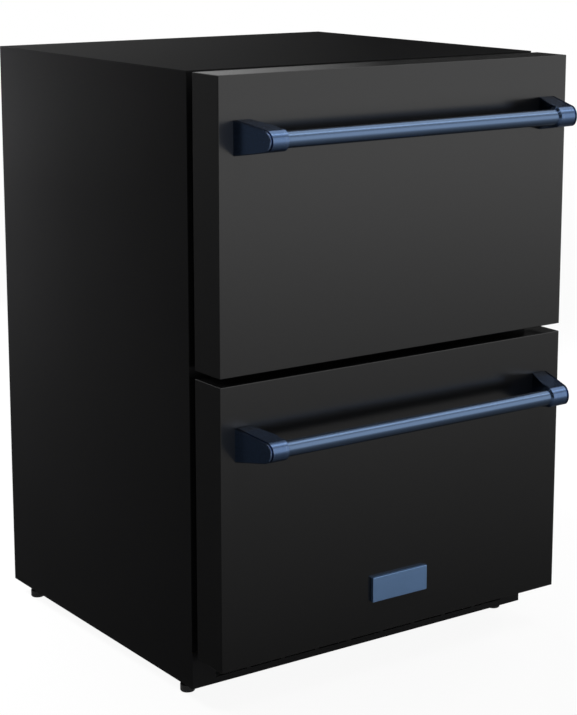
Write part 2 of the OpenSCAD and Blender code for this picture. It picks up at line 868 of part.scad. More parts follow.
module condenser_fan_motor() {
    plate = cfan_d + 24;
    at_cfan() fan_motor(cfan_d, plate, cfan_motor_l);
    // Foot that stands on the base pan
    color("#303236") translate([cfan_x, 0, 0])
        block(0, cfan_motor_l, y_mid - plate / 2, y_mid + plate / 2, z_pan, cfan_z - plate / 2);
}

module condenser_fan_wheel() {
    at_cfan() translate([0, 0, wheel_gap]) fan_wheel(cfan_d, cfan_depth, cfan_motor_l / 2);
}

// ---- Cooling circuit ----

// Fins across X with straight tube runs through them, and joined at the ends in pairs
module finned_coil(x0, length, y0, depth, z0, height, rows) {
    fins = floor((length - 20) / fin_pitch);
    start = x0 + (length - fins * fin_pitch) / 2;
    row_pitch = height / rows;
    for (i = [0:fins])
        translate([start + i * fin_pitch, 0, 0]) block(0, fin_t, y0, y0 + depth, z0, z0 + height);
    for (r = [0:rows - 1]) {
        z = z0 + (r + 0.5) * row_pitch;
        translate([0, y0 + depth / 2, z]) rod_x(tube_d, x0, x0 + length);
        if (r < rows - 1) {
            x = r % 2 == 0 ? x0 + length - tube_d / 2 : x0 + tube_d / 2;
            translate([x, y0 + depth / 2, z]) cylinder(d = tube_d, h = row_pitch);
        }
    }
}

module evaporator() {
    color("#c9ccd0") {
        finned_coil(-coil_l / 2, coil_l, evap_y, evap_d, evap_z, evap_h, evap_rows);
        // Feet that stand on the liner's floor
        pair() block(coil_l / 2 - 30, coil_l / 2 - 28, evap_y, evap_y + evap_d, hi0,
            evap_z + evap_h / evap_rows / 2);
    }
}

// Duct cover with return slots below and a ringed mouth before the fan
module evaporator_cover() {
    slots = 12;
    slot_w = 24;
    mouth_d = efan_d - 4;
    color("#dcdee0") {
        difference() {
            wide(half_in, y_cover, y_cover + cover_t, hi0, hi1);
            translate([0, 0, efan_z]) rod_y(mouth_d, y_cover - 1, y_cover + cover_t + 1);
            for (i = [0:slots - 1])
                translate([(i - (slots - 1) / 2) * (slot_w + 10) - slot_w / 2, y_cover - 1, hi0 + 16])
                    cube([slot_w, cover_t + 2, 6]);
        }
        translate([0, 0, efan_z]) {
            for (d = [mouth_d * 0.75, mouth_d * 0.5, mouth_d * 0.25]) difference() {
                rod_y(d, y_cover, y_cover + cover_t);
                rod_y(d - 5, y_cover - 1, y_cover + cover_t + 1);
            }
            for (a = [0, 45, 90, 135]) rotate([0, a, 0])
                block(-mouth_d / 2 - 1, mouth_d / 2 + 1, y_cover, y_cover + cover_t, -1.2, 1.2);
        }
    }
}

// Welded shell with rounded shoulders, its foot plate and the terminal box
module compressor() {
    r = shell_d / 2;
    shoulder = 30;
    color("#17181a") translate([comp_x, y_mid, 0]) difference() {
        union() {
            translate([0, 0, z_comp]) rotate_extrude() {
                square([r, shell_h - shoulder]);
                square([r - shoulder, shell_h]);
                translate([r - shoulder, shell_h - shoulder]) intersection() {
                    circle(r = shoulder);
                    square(shoulder);
                }
            }
            translate([0, 0, z_comp + shell_h * 0.45]) cylinder(r = r + 2.5, h = 5);
            block(-comp_foot_x, comp_foot_x, -comp_foot_y, comp_foot_y, z_comp - comp_foot_t, z_comp);
            block(-r - 18, 0, -24, 24, z_comp + 30, z_comp + 84);
        }
        for (x = [-1, 1], y = [-1, 1])
            translate([x * (comp_foot_x - 10), y * (comp_foot_y - 10), z_comp - comp_foot_t - 1])
                cylinder(d = 9, h = comp_foot_t + 2);
    }
}

// Four rubber mounts with a pin through the foot plate
module compressor_mounts() {
    color("#101011") for (x = [-1, 1], y = [-1, 1])
        translate([comp_x + x * (comp_foot_x - 10), y_mid + y * (comp_foot_y - 10), z_pan]) {
            cylinder(d = 20, h = mount_h);
            cylinder(d = 9 - 2 * slip_gap, h = mount_h + comp_foot_t + 4);
        }
}

module condenser() {
    color("#1d1f22") {
        y0 = y_mid - condenser_d / 2;
        finned_coil(coil_x, condenser_w, y0, condenser_d, condenser_z, condenser_h, condenser_rows);
        for (x = [coil_x + 12, coil_x + condenser_w - 14])
            block(x, x + 2, y0, y0 + condenser_d, z_pan, condenser_z + condenser_h / condenser_rows / 2);
    }
}

// Tray for melt water, warm on top of the compressor
module drip_tray() {
    wall = 2;
    half = [shell_d / 2 + tray_out, comp_foot_y];
    color("#4a4d50") translate([comp_x, y_mid, z_comp + shell_h]) difference() {
        block(-half[0], half[0], -half[1], half[1], 0, tray_h);
        block(-half[0] + wall, half[0] - wall, -half[1] + wall, half[1] - wall, wall, tray_h + 1);
    }
}

// Hot line to the condenser, and the cold line with its drier up to the evaporator
module refrigerant_pipes() {
    stub = shell_d / 2 + slip_gap;
    hot_y = y_mid - stub - 8;
    z_hot = z_comp + 20;
    z_low = z_pan + 16;
    x_coil = coil_x + condenser_w;
    x_bend = comp_x - bend_out;
    x_drop = x_coil + line_d / 2 + 1.5;
    z_coil = condenser_z + condenser_h / condenser_rows / 2;
    color("#b5713f") {
        pipe([
            [comp_x, y_mid - stub, z_hot], [comp_x, hot_y, z_hot], [x_bend, hot_y, z_hot],
            [x_bend, hot_y, z_low], [x_drop, hot_y, z_low], [x_drop, hot_y, z_coil],
            [x_drop, y_mid, z_coil], [x_coil + slip_gap, y_mid, z_coil]
        ], line_d);
        pipe([
            [comp_x, y_mid + stub, z_hot], [comp_x, cold_y, z_hot], [cold_x, cold_y, z_hot],
            [cold_x, cold_y, cold_z], [cold_x, evap_y + evap_d + slip_gap, cold_z]
        ], line_d);
        translate([cold_x, cold_y, z_roof - 1.5 * drier_l]) cylinder(d = drier_d, h = drier_l);
    }
}

module control_box() {
    x0 = cfan_x + box_gap;
    color("#6b6e72") block(x0, x0 + box_w, y_mid - box_d / 2, y_mid + box_d / 2, z_roof - box_h, z_roof);
}

// Bushing for the mains cord in the rear cover
module cord_gland() {
    color("#0f0f10") translate([gland_x, 0, gland_z]) difference() {
        union() {
            rod_y(gland_bore + 8 - 2 * slip_gap, y_rear - gland_l, y_rear);
            rod_y(gland_bore + 12, y_rear, y_rear + 2.5);
            rod_y(gland_bore + 12, y_sheet - 2.5, y_sheet);
        }
        rod_y(gland_bore, y_rear - gland_l - 1, y_rear + 4);
    }
}

// Pan-head screws of the rear panels
module case_screws() {
    color("#a8abaf") for (s = [-1, 1], z = [z_pan + 20, z_machine - 12, z_machine + 14, z_top - 60])
        translate([s * (half_sheet - 30), 0, z]) rod_y(8, y_rear, y_rear + 2);
    color("#a8abaf") for (x = [-0.5, 0.5], z = [z_machine + 14, z_top - 24])
        translate([x * half_w, 0, z]) rod_y(8, y_rear, y_rear + 2);
}

side_panel_left();
side_panel_right();
top_panel();
back_panel();
rear_cover();
base_pan();
toe_kick();
front_frame();
centre_mullion();
bulkhead();
liner_upper();
liner_lower();
insulation();
rails_upper();
rails_lower();
evaporator();
evaporator_cover();
evaporator_fan_motor();
evaporator_fan_wheel();
compressor();
compressor_mounts();
condenser();
condenser_fan_motor();
condenser_fan_wheel();
drip_tray();
refrigerant_pipes();
control_box();
control_panel();
led_lamps();
cord_gland();
case_screws();
foot_front_left();
foot_front_right();
foot_rear_left();
foot_rear_right();
mid_upper_left();
mid_upper_right();
mid_lower_left();
mid_lower_right();
key_power();
key_colder();
key_warmer();
key_light();
front_upper();
front_foam_upper();
inner_panel_upper();
gasket_upper();
handle_bar_upper();
handle_brackets_upper();
bin_upper();
runners_upper();
front_lower();
front_foam_lower();
inner_panel_lower();
gasket_lower();
handle_bar_lower();
handle_brackets_lower();
bin_lower();
runners_lower();
badge_plate();
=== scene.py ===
"""Looks of an undercounter refrigerator with two pull-out drawers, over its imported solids.

Lengths are in metres, in the frame of the solids: X to the right seen from the front, the drawer
fronts face -Y and Z is up. New pieces are surfaces computed with numpy as rings of points.
"""

import logging
import math
from dataclasses import dataclass
from enum import Enum

import bmesh
import bpy
import numpy as np
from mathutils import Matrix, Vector


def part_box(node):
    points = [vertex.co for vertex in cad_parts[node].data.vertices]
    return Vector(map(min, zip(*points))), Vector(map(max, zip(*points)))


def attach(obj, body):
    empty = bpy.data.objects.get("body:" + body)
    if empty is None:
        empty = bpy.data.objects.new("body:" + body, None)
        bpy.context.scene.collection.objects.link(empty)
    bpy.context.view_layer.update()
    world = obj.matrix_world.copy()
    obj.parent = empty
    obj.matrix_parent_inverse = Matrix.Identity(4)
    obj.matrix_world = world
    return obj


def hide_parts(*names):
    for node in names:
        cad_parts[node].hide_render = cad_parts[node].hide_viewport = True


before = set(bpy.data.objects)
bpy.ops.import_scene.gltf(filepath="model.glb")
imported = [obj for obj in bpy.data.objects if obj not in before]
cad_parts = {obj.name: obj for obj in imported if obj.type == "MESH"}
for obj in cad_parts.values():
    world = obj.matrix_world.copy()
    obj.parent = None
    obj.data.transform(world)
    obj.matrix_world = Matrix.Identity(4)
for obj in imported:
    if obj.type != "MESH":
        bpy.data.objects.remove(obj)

LOG = logging.getLogger("refrigerator")
MM = 0.001
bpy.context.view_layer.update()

Array = np.ndarray
Color = tuple[float, float, float]
Point = tuple[float, float, float]
Span = tuple[float, float]
Tree = bpy.types.NodeTree
Socket = bpy.types.NodeSocket

# Points nearer than this are one point, and faces that bend less than this are one flat
MERGE_DISTANCE = 0.02 * MM
FLAT_ANGLE = math.radians(0.5)
# Edges that bend more than this are rounded
BEVEL_ANGLE = math.radians(30)
# Least radius of a rounded corner
LEAST_CORNER = 0.05 * MM
# What keeps the halves of an outline that mirror each other from meeting in one point
HALF_GAP = 0.01 * MM
# The edge mask: samples and radius of the rounded normal, and the bend from plain to edge colour,
# which is wear on most finishes and a painted highlight on the case's sheets and the brackets
EDGE_SAMPLES = 4
EDGE_RADIUS = 0.9 * MM
EDGE_BEND = (0.02, 0.25)
# How much of the relief the bump shows, and the part of the noise that the roughness follows
BUMP_STRENGTH = 0.6
NOISE_SPAN = (0.3, 0.7)
# Scale of the coordinates across and along brushed streaks
STREAK_ACROSS = 30.0
STREAK_ALONG = 0.5
# Sockets of a Mix node that mixes colours
MIX_SHARE, MIX_FIRST, MIX_SECOND, MIX_RESULT = 0, 6, 7, 2


# ---- Surfaces ----


class Axis(Enum):
    """The axis that a piece or a grain runs along."""

    X = 0
    Y = 1
    Z = 2


class Cap(Enum):
    """How the first or last ring of a surface is closed."""

    OPEN = "open"
    FLAT = "flat"
    STRIPS = "strips"


@dataclass
class Surface:
    """A skin through rings of points, closed round each ring.

    Each ring holds the same number of points. Strips close a ring whose second half mirrors its
    first, point by point, so that the closing face may bend along the way.
    """

    rings: Array
    first: Cap = Cap.FLAT
    last: Cap = Cap.FLAT
    looped: bool = False

    def faces(self, offset: int) -> list[tuple[int, ...]]:
        """Lists the faces as point numbers.

        Args:
            offset: number of the first point in the shared mesh.

        Returns:
            Quads between neighbouring rings, and the faces of both caps.
        """
        count, size = self.rings.shape[:2]
        rows = np.arange(count if self.looped else count - 1)
        columns = np.arange(size)
        here = rows[:, None] * size + columns[None, :]
        beside = rows[:, None] * size + (columns[None, :] + 1) % size
        above = ((rows[:, None] + 1) % count) * size
        across, over = above + (columns[None, :] + 1) % size, above + columns[None, :]
        quads = np.stack([here, beside, across, over], -1)
        found = [tuple(q) for q in (quads.reshape(-1, 4) + offset).tolist()]
        for cap, start, turned in ((self.first, 0, True), (self.last, (count - 1) * size, False)):
            if cap is Cap.OPEN or self.looped:
                continue
            ring = [offset + start + i for i in range(size)]
            if cap is Cap.FLAT:
                parts = [ring]
            else:
                parts = [
                    [ring[i], ring[i + 1], ring[size - 2 - i], ring[size - 1 - i]]
                    for i in range(size // 2 - 1)
                ]
            found += [tuple(reversed(p)) if turned else tuple(p) for p in parts]
        return found

    def volume(self) -> float:
        """Measures the enclosed volume as a sum of cones from the middle of the points.

        A triangle (p, q, r) counted from the middle adds p . (q x r) / 6. Each quad is two
        triangles, and each cap is a fan round the mean of its ring.

        Returns:
            The volume, positive where the faces turn outwards.
        """
        points = self.rings - self.rings.mean((0, 1))
        lower, upper = points[:-1], points[1:]
        if self.looped:
            lower, upper = points, np.roll(points, -1, 0)
        here, beside = lower, np.roll(lower, -1, 1)
        above, across = upper, np.roll(upper, -1, 1)
        total = (here * (np.cross(beside, across) + np.cross(across, above))).sum()
        if not self.looped:
            first, last = points[0], points[-1]
            total += (first.mean(0) * np.cross(np.roll(first, -1, 0), first)).sum()
            total += (last.mean(0) * np.cross(last, np.roll(last, -1, 0))).sum()
        return float(total) / 6.0


def add_object(name: str, data: bpy.types.ID) -> bpy.types.Object:
    """Makes an object of some data and links it to the scene.

    Args:
        name: its name.
        data: its mesh, light or camera.

    Returns:
        The new object.
    """
    item = bpy.data.objects.new(name, data)
    bpy.context.scene.collection.objects.link(item)
    return item


def weigh_normals(mesh: bpy.types.Mesh) -> None:
    """Gives each point the mean normal of its faces weighed by area, so that flats stay flat.

    Args:
        mesh: the mesh, whose edges are all rounded.
    """
    count = len(mesh.polygons)
    normals = np.zeros(count * 3, np.float32)
    areas = np.zeros(count, np.float32)
    sizes = np.zeros(count, np.int32)
    corners = np.zeros(len(mesh.loops), np.int32)
    mesh.polygons.foreach_get("normal", normals)
    mesh.polygons.foreach_get("area", areas)
    mesh.polygons.foreach_get("loop_total", sizes)
    mesh.loops.foreach_get("vertex_index", corners)
    weighed = (normals.reshape(-1, 3) * areas[:, None]).repeat(sizes, 0)
    total = np.zeros((len(mesh.vertices), 3))
    np.add.at(total, corners, weighed)
    length = np.linalg.norm(total, axis=1, keepdims=True)
    total = np.where(length > 0, total / np.maximum(length, 1e-20), (0, 0, 1))
    mesh.polygons.foreach_set("use_smooth", np.ones(count, bool))
    mesh.normals_split_custom_set_from_vertices(total.tolist())


def make_piece(name: str, surfaces: list[Surface], finish: "Finish", body: str,
               *nodes: str) -> bpy.types.Object:
    """Makes one object of several closed or open skins and seats it on a body.

    Args:
        name: the piece's name.
        surfaces: its skins.
        finish: its material.
        body: the body that it rides on.
        nodes: the nodes that it stands for.

    Returns:
        The new object.
    """
    points, faces, offset = [], [], 0
    for surface in surfaces:
        flat = surface.rings.reshape(-1, 3)
        found = surface.faces(0)
        if surface.volume() < 0:
            found = [tuple(reversed(f)) for f in found]
        faces += [tuple(i + offset for i in f) for f in found]
        points.append(flat)
        offset += len(flat)
    mesh = bpy.data.meshes.new(name)
    mesh.from_pydata(np.concatenate(points).tolist(), [], faces)
    mesh.update()
    weigh_normals(mesh)
    return seat(name, mesh, finish, body, *nodes)


def seat(name: str, mesh: bpy.types.Mesh, finish: "Finish", body: str,
         *nodes: str) -> bpy.types.Object:
    """Makes a piece of a mesh, gives it its material and lets it ride on a body.

    Args:
        name: the piece's name.
        mesh: its mesh.
        finish: its material.
        body: the body that it rides on.
        nodes: the nodes that it stands for.

    Returns:
        The new object.
    """
    piece = add_object(name, mesh)
    mesh.materials.clear()
    mesh.materials.append(finish.material())
    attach(piece, body)
    if nodes:
        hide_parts(*nodes)
    LOG.info("%s: %d points on %s", piece.name, len(mesh.vertices), body)
    return piece


def softened(node: str, finish: "Finish", body: str, edge: float,
             steps: int = 2) -> bpy.types.Object:
    """Makes a copy of a node with its flats merged and its edges rounded, and shows it instead.

    Args:
        node: the node.
        finish: the copy's material.
        body: the body that it rides on.
        edge: width of the rounded edge.
        steps: faces across the rounded edge.

    Returns:
        The copy.
    """
    work = bmesh.new()
    work.from_mesh(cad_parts[node].data)
    bmesh.ops.remove_doubles(work, verts=work.verts, dist=MERGE_DISTANCE)
    bmesh.ops.dissolve_limit(work, angle_limit=FLAT_ANGLE, verts=work.verts, edges=work.edges)
    mesh = bpy.data.meshes.new(node + "_skin")
    work.to_mesh(mesh)
    work.free()
    # The node's own shading data would stand in the way of the rounded edges' normals
    for label in ("custom_normal", "sharp_face", "sharp_edge"):
        if label in mesh.attributes:
            mesh.attributes.remove(mesh.attributes[label])
    mesh.polygons.foreach_set("use_smooth", np.ones(len(mesh.polygons), bool))
    piece = seat(node + "_skin", mesh, finish, body, node)
    bevel = piece.modifiers.new("edges", "BEVEL")
    bevel.width = edge
    bevel.segments = steps
    bevel.limit_method = "ANGLE"
    bevel.angle_limit = BEVEL_ANGLE
    bevel.harden_normals = True
    return piece


def rounded_loop(width: float, height: float, radius: float, steps: int = 6) -> Array:
    """Outline of a rectangle with round corners.

    Each corner is an arc: its middle plus the radius times (cosine, sine) of the angle.

    Args:
        width: full width.
        height: full height.
        radius: radius of the corners.
        steps: chords in each corner.

    Returns:
        The points as an array of pairs, counter-clockwise.
    """
    signs = np.array([(1, 1), (-1, 1), (-1, -1), (1, -1)], float)
    middles = signs * (width / 2 - radius, height / 2 - radius)
    angle = np.radians(90 * np.arange(4)[:, None] + np.linspace(0, 90, steps + 1)[None, :])
    arcs = middles[:, None, :] + radius * np.stack([np.cos(angle), np.sin(angle)], -1)
    return arcs.reshape(-1, 2)


def full_circle(turns: int) -> tuple[Array, Array]:
    """Spaces angles evenly round a full turn.

    Args:
        turns: how many.

    Returns:
        The angles and their (cosine, sine) pairs.
    """
    angle = np.linspace(0, 2 * math.pi, turns, endpoint=False)
    return angle, np.stack([np.cos(angle), np.sin(angle)], -1)


def place(flat: Array, along: float | Array, axis: Axis, middle: Point) -> Array:
    """Puts flat outlines into space.

    Args:
        flat: pairs in the plane across the axis, in the order of the two other axes.
        along: place on the axis.
        axis: the axis.
        middle: a point that the outlines are counted from.

    Returns:
        Points in the frame of the solids.
    """
    points = np.empty(flat.shape[:-1] + (3,))
    across = [i for i in range(3) if i != axis.value]
    points[..., across[0]] = flat[..., 0] + middle[across[0]]
    points[..., across[1]] = flat[..., 1] + middle[across[1]]
    points[..., axis.value] = np.asarray(along) + middle[axis.value]
    return points


def quarter_round(edge: float, steps: int = 5) -> tuple[Array, Array]:
    """A rim's quarter round, from the flat face to the straight side.

    At angle t the outline is drawn in by edge times (1 - sine t) and has risen by edge times
    (1 - cosine t).

    Args:
        edge: radius of the rim.
        steps: its chords.

    Returns:
        How far the outline is drawn in, and how far it has risen.
    """
    turn = np.linspace(0, math.pi / 2, steps + 1)
    return edge * (1 - np.sin(turn)), edge * (1 - np.cos(turn))


def inset_rings(size: Array, corner: float, insets: Array, places: Array,
                axis: Axis, middle: Point) -> Array:
    """Round-cornered rectangles along an axis, each drawn in by its own distance.

    Args:
        size: width and height of the rectangle that isn't drawn in.
        corner: radius of its corners.
        insets: how far each ring is drawn in.
        places: each ring's place on the axis.
        axis: the axis.
        middle: point on the axis that the places are counted from.

    Returns:
        The rings of points.
    """
    wide, tall = size
    return np.array([
        place(rounded_loop(wide - 2 * d, tall - 2 * d, max(corner - d, LEAST_CORNER)),
              along, axis, middle)
        for d, along in zip(insets, places)
    ])


def rounded_box(low: Point, high: Point, edge: float, corner: float, axis: Axis) -> Surface:
    """A box whose outline across the axis has round corners and whose rims are quarter rounds.

    Args:
        low: lowest corner.
        high: highest corner.
        edge: radius of both rims.
        corner: radius of the outline's corners.
        axis: the axis that the outline is carried along.

    Returns:
        The closed surface.
    """
    low, high = np.asarray(low, float), np.asarray(high, float)
    size, middle = high - low, (low + high) / 2
    half = size[axis.value] / 2
    inset, rise = quarter_round(edge)
    insets = np.concatenate([inset, inset[::-1]])
    places = np.concatenate([rise - half, half - rise[::-1]])
    across = np.delete(size, axis.value)
    return Surface(inset_rings(across, corner, insets, places, axis, tuple(middle)))


def lathe(profile: Array, axis: Axis, middle: Point, turns: int = 64) -> Surface:
    """A profile of (radius, place) pairs turned round an axis.

    A point at angle a lies at radius times (cosine a, sine a) across the axis.

    Args:
        profile: pairs of radius and place along the axis.
        axis: the axis.
        middle: point on the axis that the places are counted from.
        turns: points round the axis.

    Returns:
        The surface, closed by flat caps.
    """
    _, circle = full_circle(turns)
    flat = np.asarray(profile)[:, :1, None] * circle[None]
    along = np.asarray(profile)[:, 1][:, None].repeat(turns, 1)
    return Surface(place(flat, along, axis, middle))


def swept_frame(profile: Array, width: float, height: float, corner: float,
                middle: Point) -> Surface:
    """A closed profile carried round a rectangle in the front plane.

    A profile point (out, along) follows the rectangle grown by out, at that place on Y.

    Args:
        profile: pairs of outward distance and place on Y, in order round the profile.
        width: width of the rectangle.
        height: height of the rectangle.
        corner: radius of its corners.
        middle: its middle.

    Returns:
        The ring-shaped surface.
    """
    rings = [
        place(rounded_loop(width + 2 * out, height + 2 * out, corner + out, 5),
              along, Axis.Y, middle)
        for out, along in profile
    ]
    return Surface(np.array(rings), looped=True)


def screw_thread(radius: float, depth: float, pitch: float, low: float, high: float,
                 middle: Point, rows: int = 8, turns: int = 40) -> Surface:
    """A threaded stem: the radius falls and rises once a pitch, and shifts with the angle.

    The radius at height z and angle a is the outer one less depth times a triangle wave of
    z / pitch - a / full turn.

    Args:
        radius: outer radius.
        depth: depth of the thread.
        pitch: rise in one turn.
        low: lower end.
        high: upper end.
        middle: point that heights are counted from.
        rows: rings of points in one pitch.
        turns: points round the stem.

    Returns:
        The surface.
    """
    heights = np.linspace(low, high, int((high - low) / pitch * rows) + 1)
    angle, circle = full_circle(turns)
    phase = (heights[:, None] / pitch - angle[None, :] / (2 * math.pi)) % 1.0
    reach = radius - depth * np.abs(2 * phase - 1)
    flat = reach[..., None] * circle[None]
    return Surface(place(flat, heights[:, None].repeat(turns, 1), Axis.Z, middle))


# ---- Materials ----


def new_group(name: str, inputs: dict[str, float],
              outputs: list[str]) -> tuple[Tree, bpy.types.Node, bpy.types.Node]:
    """Starts a shader node group with named sockets.

    Args:
        name: the group's name.
        inputs: float sockets and their defaults, besides the Vector socket.
        outputs: float sockets.

    Returns:
        The group, its input node and its output node.
    """
    group = bpy.data.node_groups.new(name, "ShaderNodeTree")
    group.interface.new_socket("Vector", in_out="INPUT", socket_type="NodeSocketVector")
    for label, value in inputs.items():
        made = group.interface.new_socket(label, in_out="INPUT", socket_type="NodeSocketFloat")
        made.default_value = value
    for label in outputs:
        group.interface.new_socket(label, in_out="OUTPUT", socket_type="NodeSocketFloat")
    return group, group.nodes.new("NodeGroupInput"), group.nodes.new("NodeGroupOutput")


def join(tree: Tree, source: Socket, target: Socket) -> None:
    """Links two sockets."""
    tree.links.new(source, target)


def feed(tree: Tree, value: float | Socket, target: Socket) -> None:
    """Sets an input to a number, or links it to another socket.

    Args:
        tree: where the nodes are.
        value: the number or the socket.
        target: the input.
    """
    if isinstance(value, (int, float)):
        target.default_value = value
    else:
        join(tree, value, target)


def math_node(tree: Tree, operation: str, *values: float | Socket) -> Socket:
    """Adds a Math node.

    Args:
        tree: where it goes.
        operation: its operation.
        values: numbers or sockets for its inputs.

    Returns:
        Its output.
    """
    node = tree.nodes.new("ShaderNodeMath")
    node.operation = operation
    for target, value in zip(node.inputs, values):
        feed(tree, value, target)
    return node.outputs[0]


def map_range(tree: Tree, value: Socket, source: Span, target: Span = (0.0, 1.0)) -> Socket:
    """Adds a Map Range node, which keeps to the ends of its target.

    Args:
        tree: where it goes.
        value: the value to map.
        source: the value's two ends.
        target: what they become.

    Returns:
        Its output.
    """
    node = tree.nodes.new("ShaderNodeMapRange")
    for label, span in (("From", source), ("To", target)):
        for end, number in zip(("Min", "Max"), span):
            node.inputs[f"{label} {end}"].default_value = number
    join(tree, value, node.inputs["Value"])
    return node.outputs["Result"]


def noise(tree: Tree, vector: Socket, scale: float | Socket, detail: float) -> Socket:
    """Adds a noise texture.

    Args:
        tree: where it goes.
        vector: its coordinates.
        scale: its scale, as a number or a socket.
        detail: its detail.

    Returns:
        Its value.
    """
    node = tree.nodes.new("ShaderNodeTexNoise")
    node.inputs["Detail"].default_value = detail
    join(tree, vector, node.inputs["Vector"])
    feed(tree, scale, node.inputs["Scale"])
    return node.outputs[0]


def noise_group(name: str, layers: list[tuple[str, float, str, float]]) -> Tree:
    """Builds a group of noises side by side.

    Args:
        name: the group's name.
        layers: for each noise its scale's input, that input's default, its output and its detail.

    Returns:
        The group.
    """
    scales = {layer[0]: layer[1] for layer in layers}
    group, source, target = new_group(name, scales, [layer[2] for layer in layers])
    for scale, _, output, detail in layers:
        value = noise(group, source.outputs["Vector"], source.outputs[scale], detail)
        join(group, value, target.inputs[output])
    return group


def grain_group() -> Tree:
    """Builds the grain of a powder coat or moulding: two noises, one fine and one broad."""
    return noise_group("coat_grain", [("Grain", 900.0, "Grain", 2.0), ("Cloud", 6.0, "Cloud", 4.0)])


def brush_group() -> Tree:
    """Builds brushed streaks: noise on coordinates that the material has already stretched."""
    return noise_group("brush_streaks", [("Streak", 60.0, "Fine", 5.0), ("Wide", 14.0, "Wide", 2.0)])


def edge_group() -> Tree:
    """Builds the edge mask: how far the rounded normal leaves the true one, broken up by noise.

    Returns:
        The group.
    """
    group, source, target = new_group("edge_wear_and_highlight_mask", {"Break": 250.0}, ["Mask"])
    bevel = group.nodes.new("ShaderNodeBevel")
    bevel.samples = EDGE_SAMPLES
    bevel.inputs["Radius"].default_value = EDGE_RADIUS
    geometry = group.nodes.new("ShaderNodeNewGeometry")
    dot = group.nodes.new("ShaderNodeVectorMath")
    dot.operation = "DOT_PRODUCT"
    join(group, bevel.outputs["Normal"], dot.inputs[0])
    join(group, geometry.outputs["Normal"], dot.inputs[1])
    bend = math_node(group, "SUBTRACT", 1.0, dot.outputs["Value"])
    steep = map_range(group, bend, EDGE_BEND)
    broken = noise(group, source.outputs["Vector"], source.outputs["Break"], 3.0)
    join(group, math_node(group, "MULTIPLY", steep, broken), target.inputs["Mask"])
    return group


GROUPS: dict[str, Tree] = {}
MATERIALS: dict[str, bpy.types.Material] = {}


def plain_emitter(name: str) -> tuple[bpy.types.Material, Tree]:
    """Starts a material for the studio, without nodes, that isn't sampled as a light.

    Args:
        name: its name.

    Returns:
        The material and its empty node tree.
    """
    made = bpy.data.materials.new(name)
    made.use_nodes = True
    made.cycles.emission_sampling = "NONE"
    made.node_tree.nodes.clear()
    return made, made.node_tree


def shared_group(name: str) -> Tree:
    """Finds a shared node group, built at its first use.

    Args:
        name: its name.

    Returns:
        The group.
    """
    makers = {"coat_grain": grain_group, "brush_streaks": brush_group, "edge_wear_and_highlight_mask": edge_group}
    if name not in GROUPS:
        GROUPS[name] = makers[name]()
    return GROUPS[name]


def add_group(tree: Tree, name: str, vector: Socket, **values: float) -> bpy.types.Node:
    """Places a shared group in a material.

    Args:
        tree: the material's nodes.
        name: the group's name.
        vector: the coordinates.
        values: its own values for the group's inputs.

    Returns:
        The group's node.
    """
    node = tree.nodes.new("ShaderNodeGroup")
    node.node_tree = shared_group(name)
    join(tree, vector, node.inputs["Vector"])
    for label, value in values.items():
        node.inputs[label].default_value = value
    return node


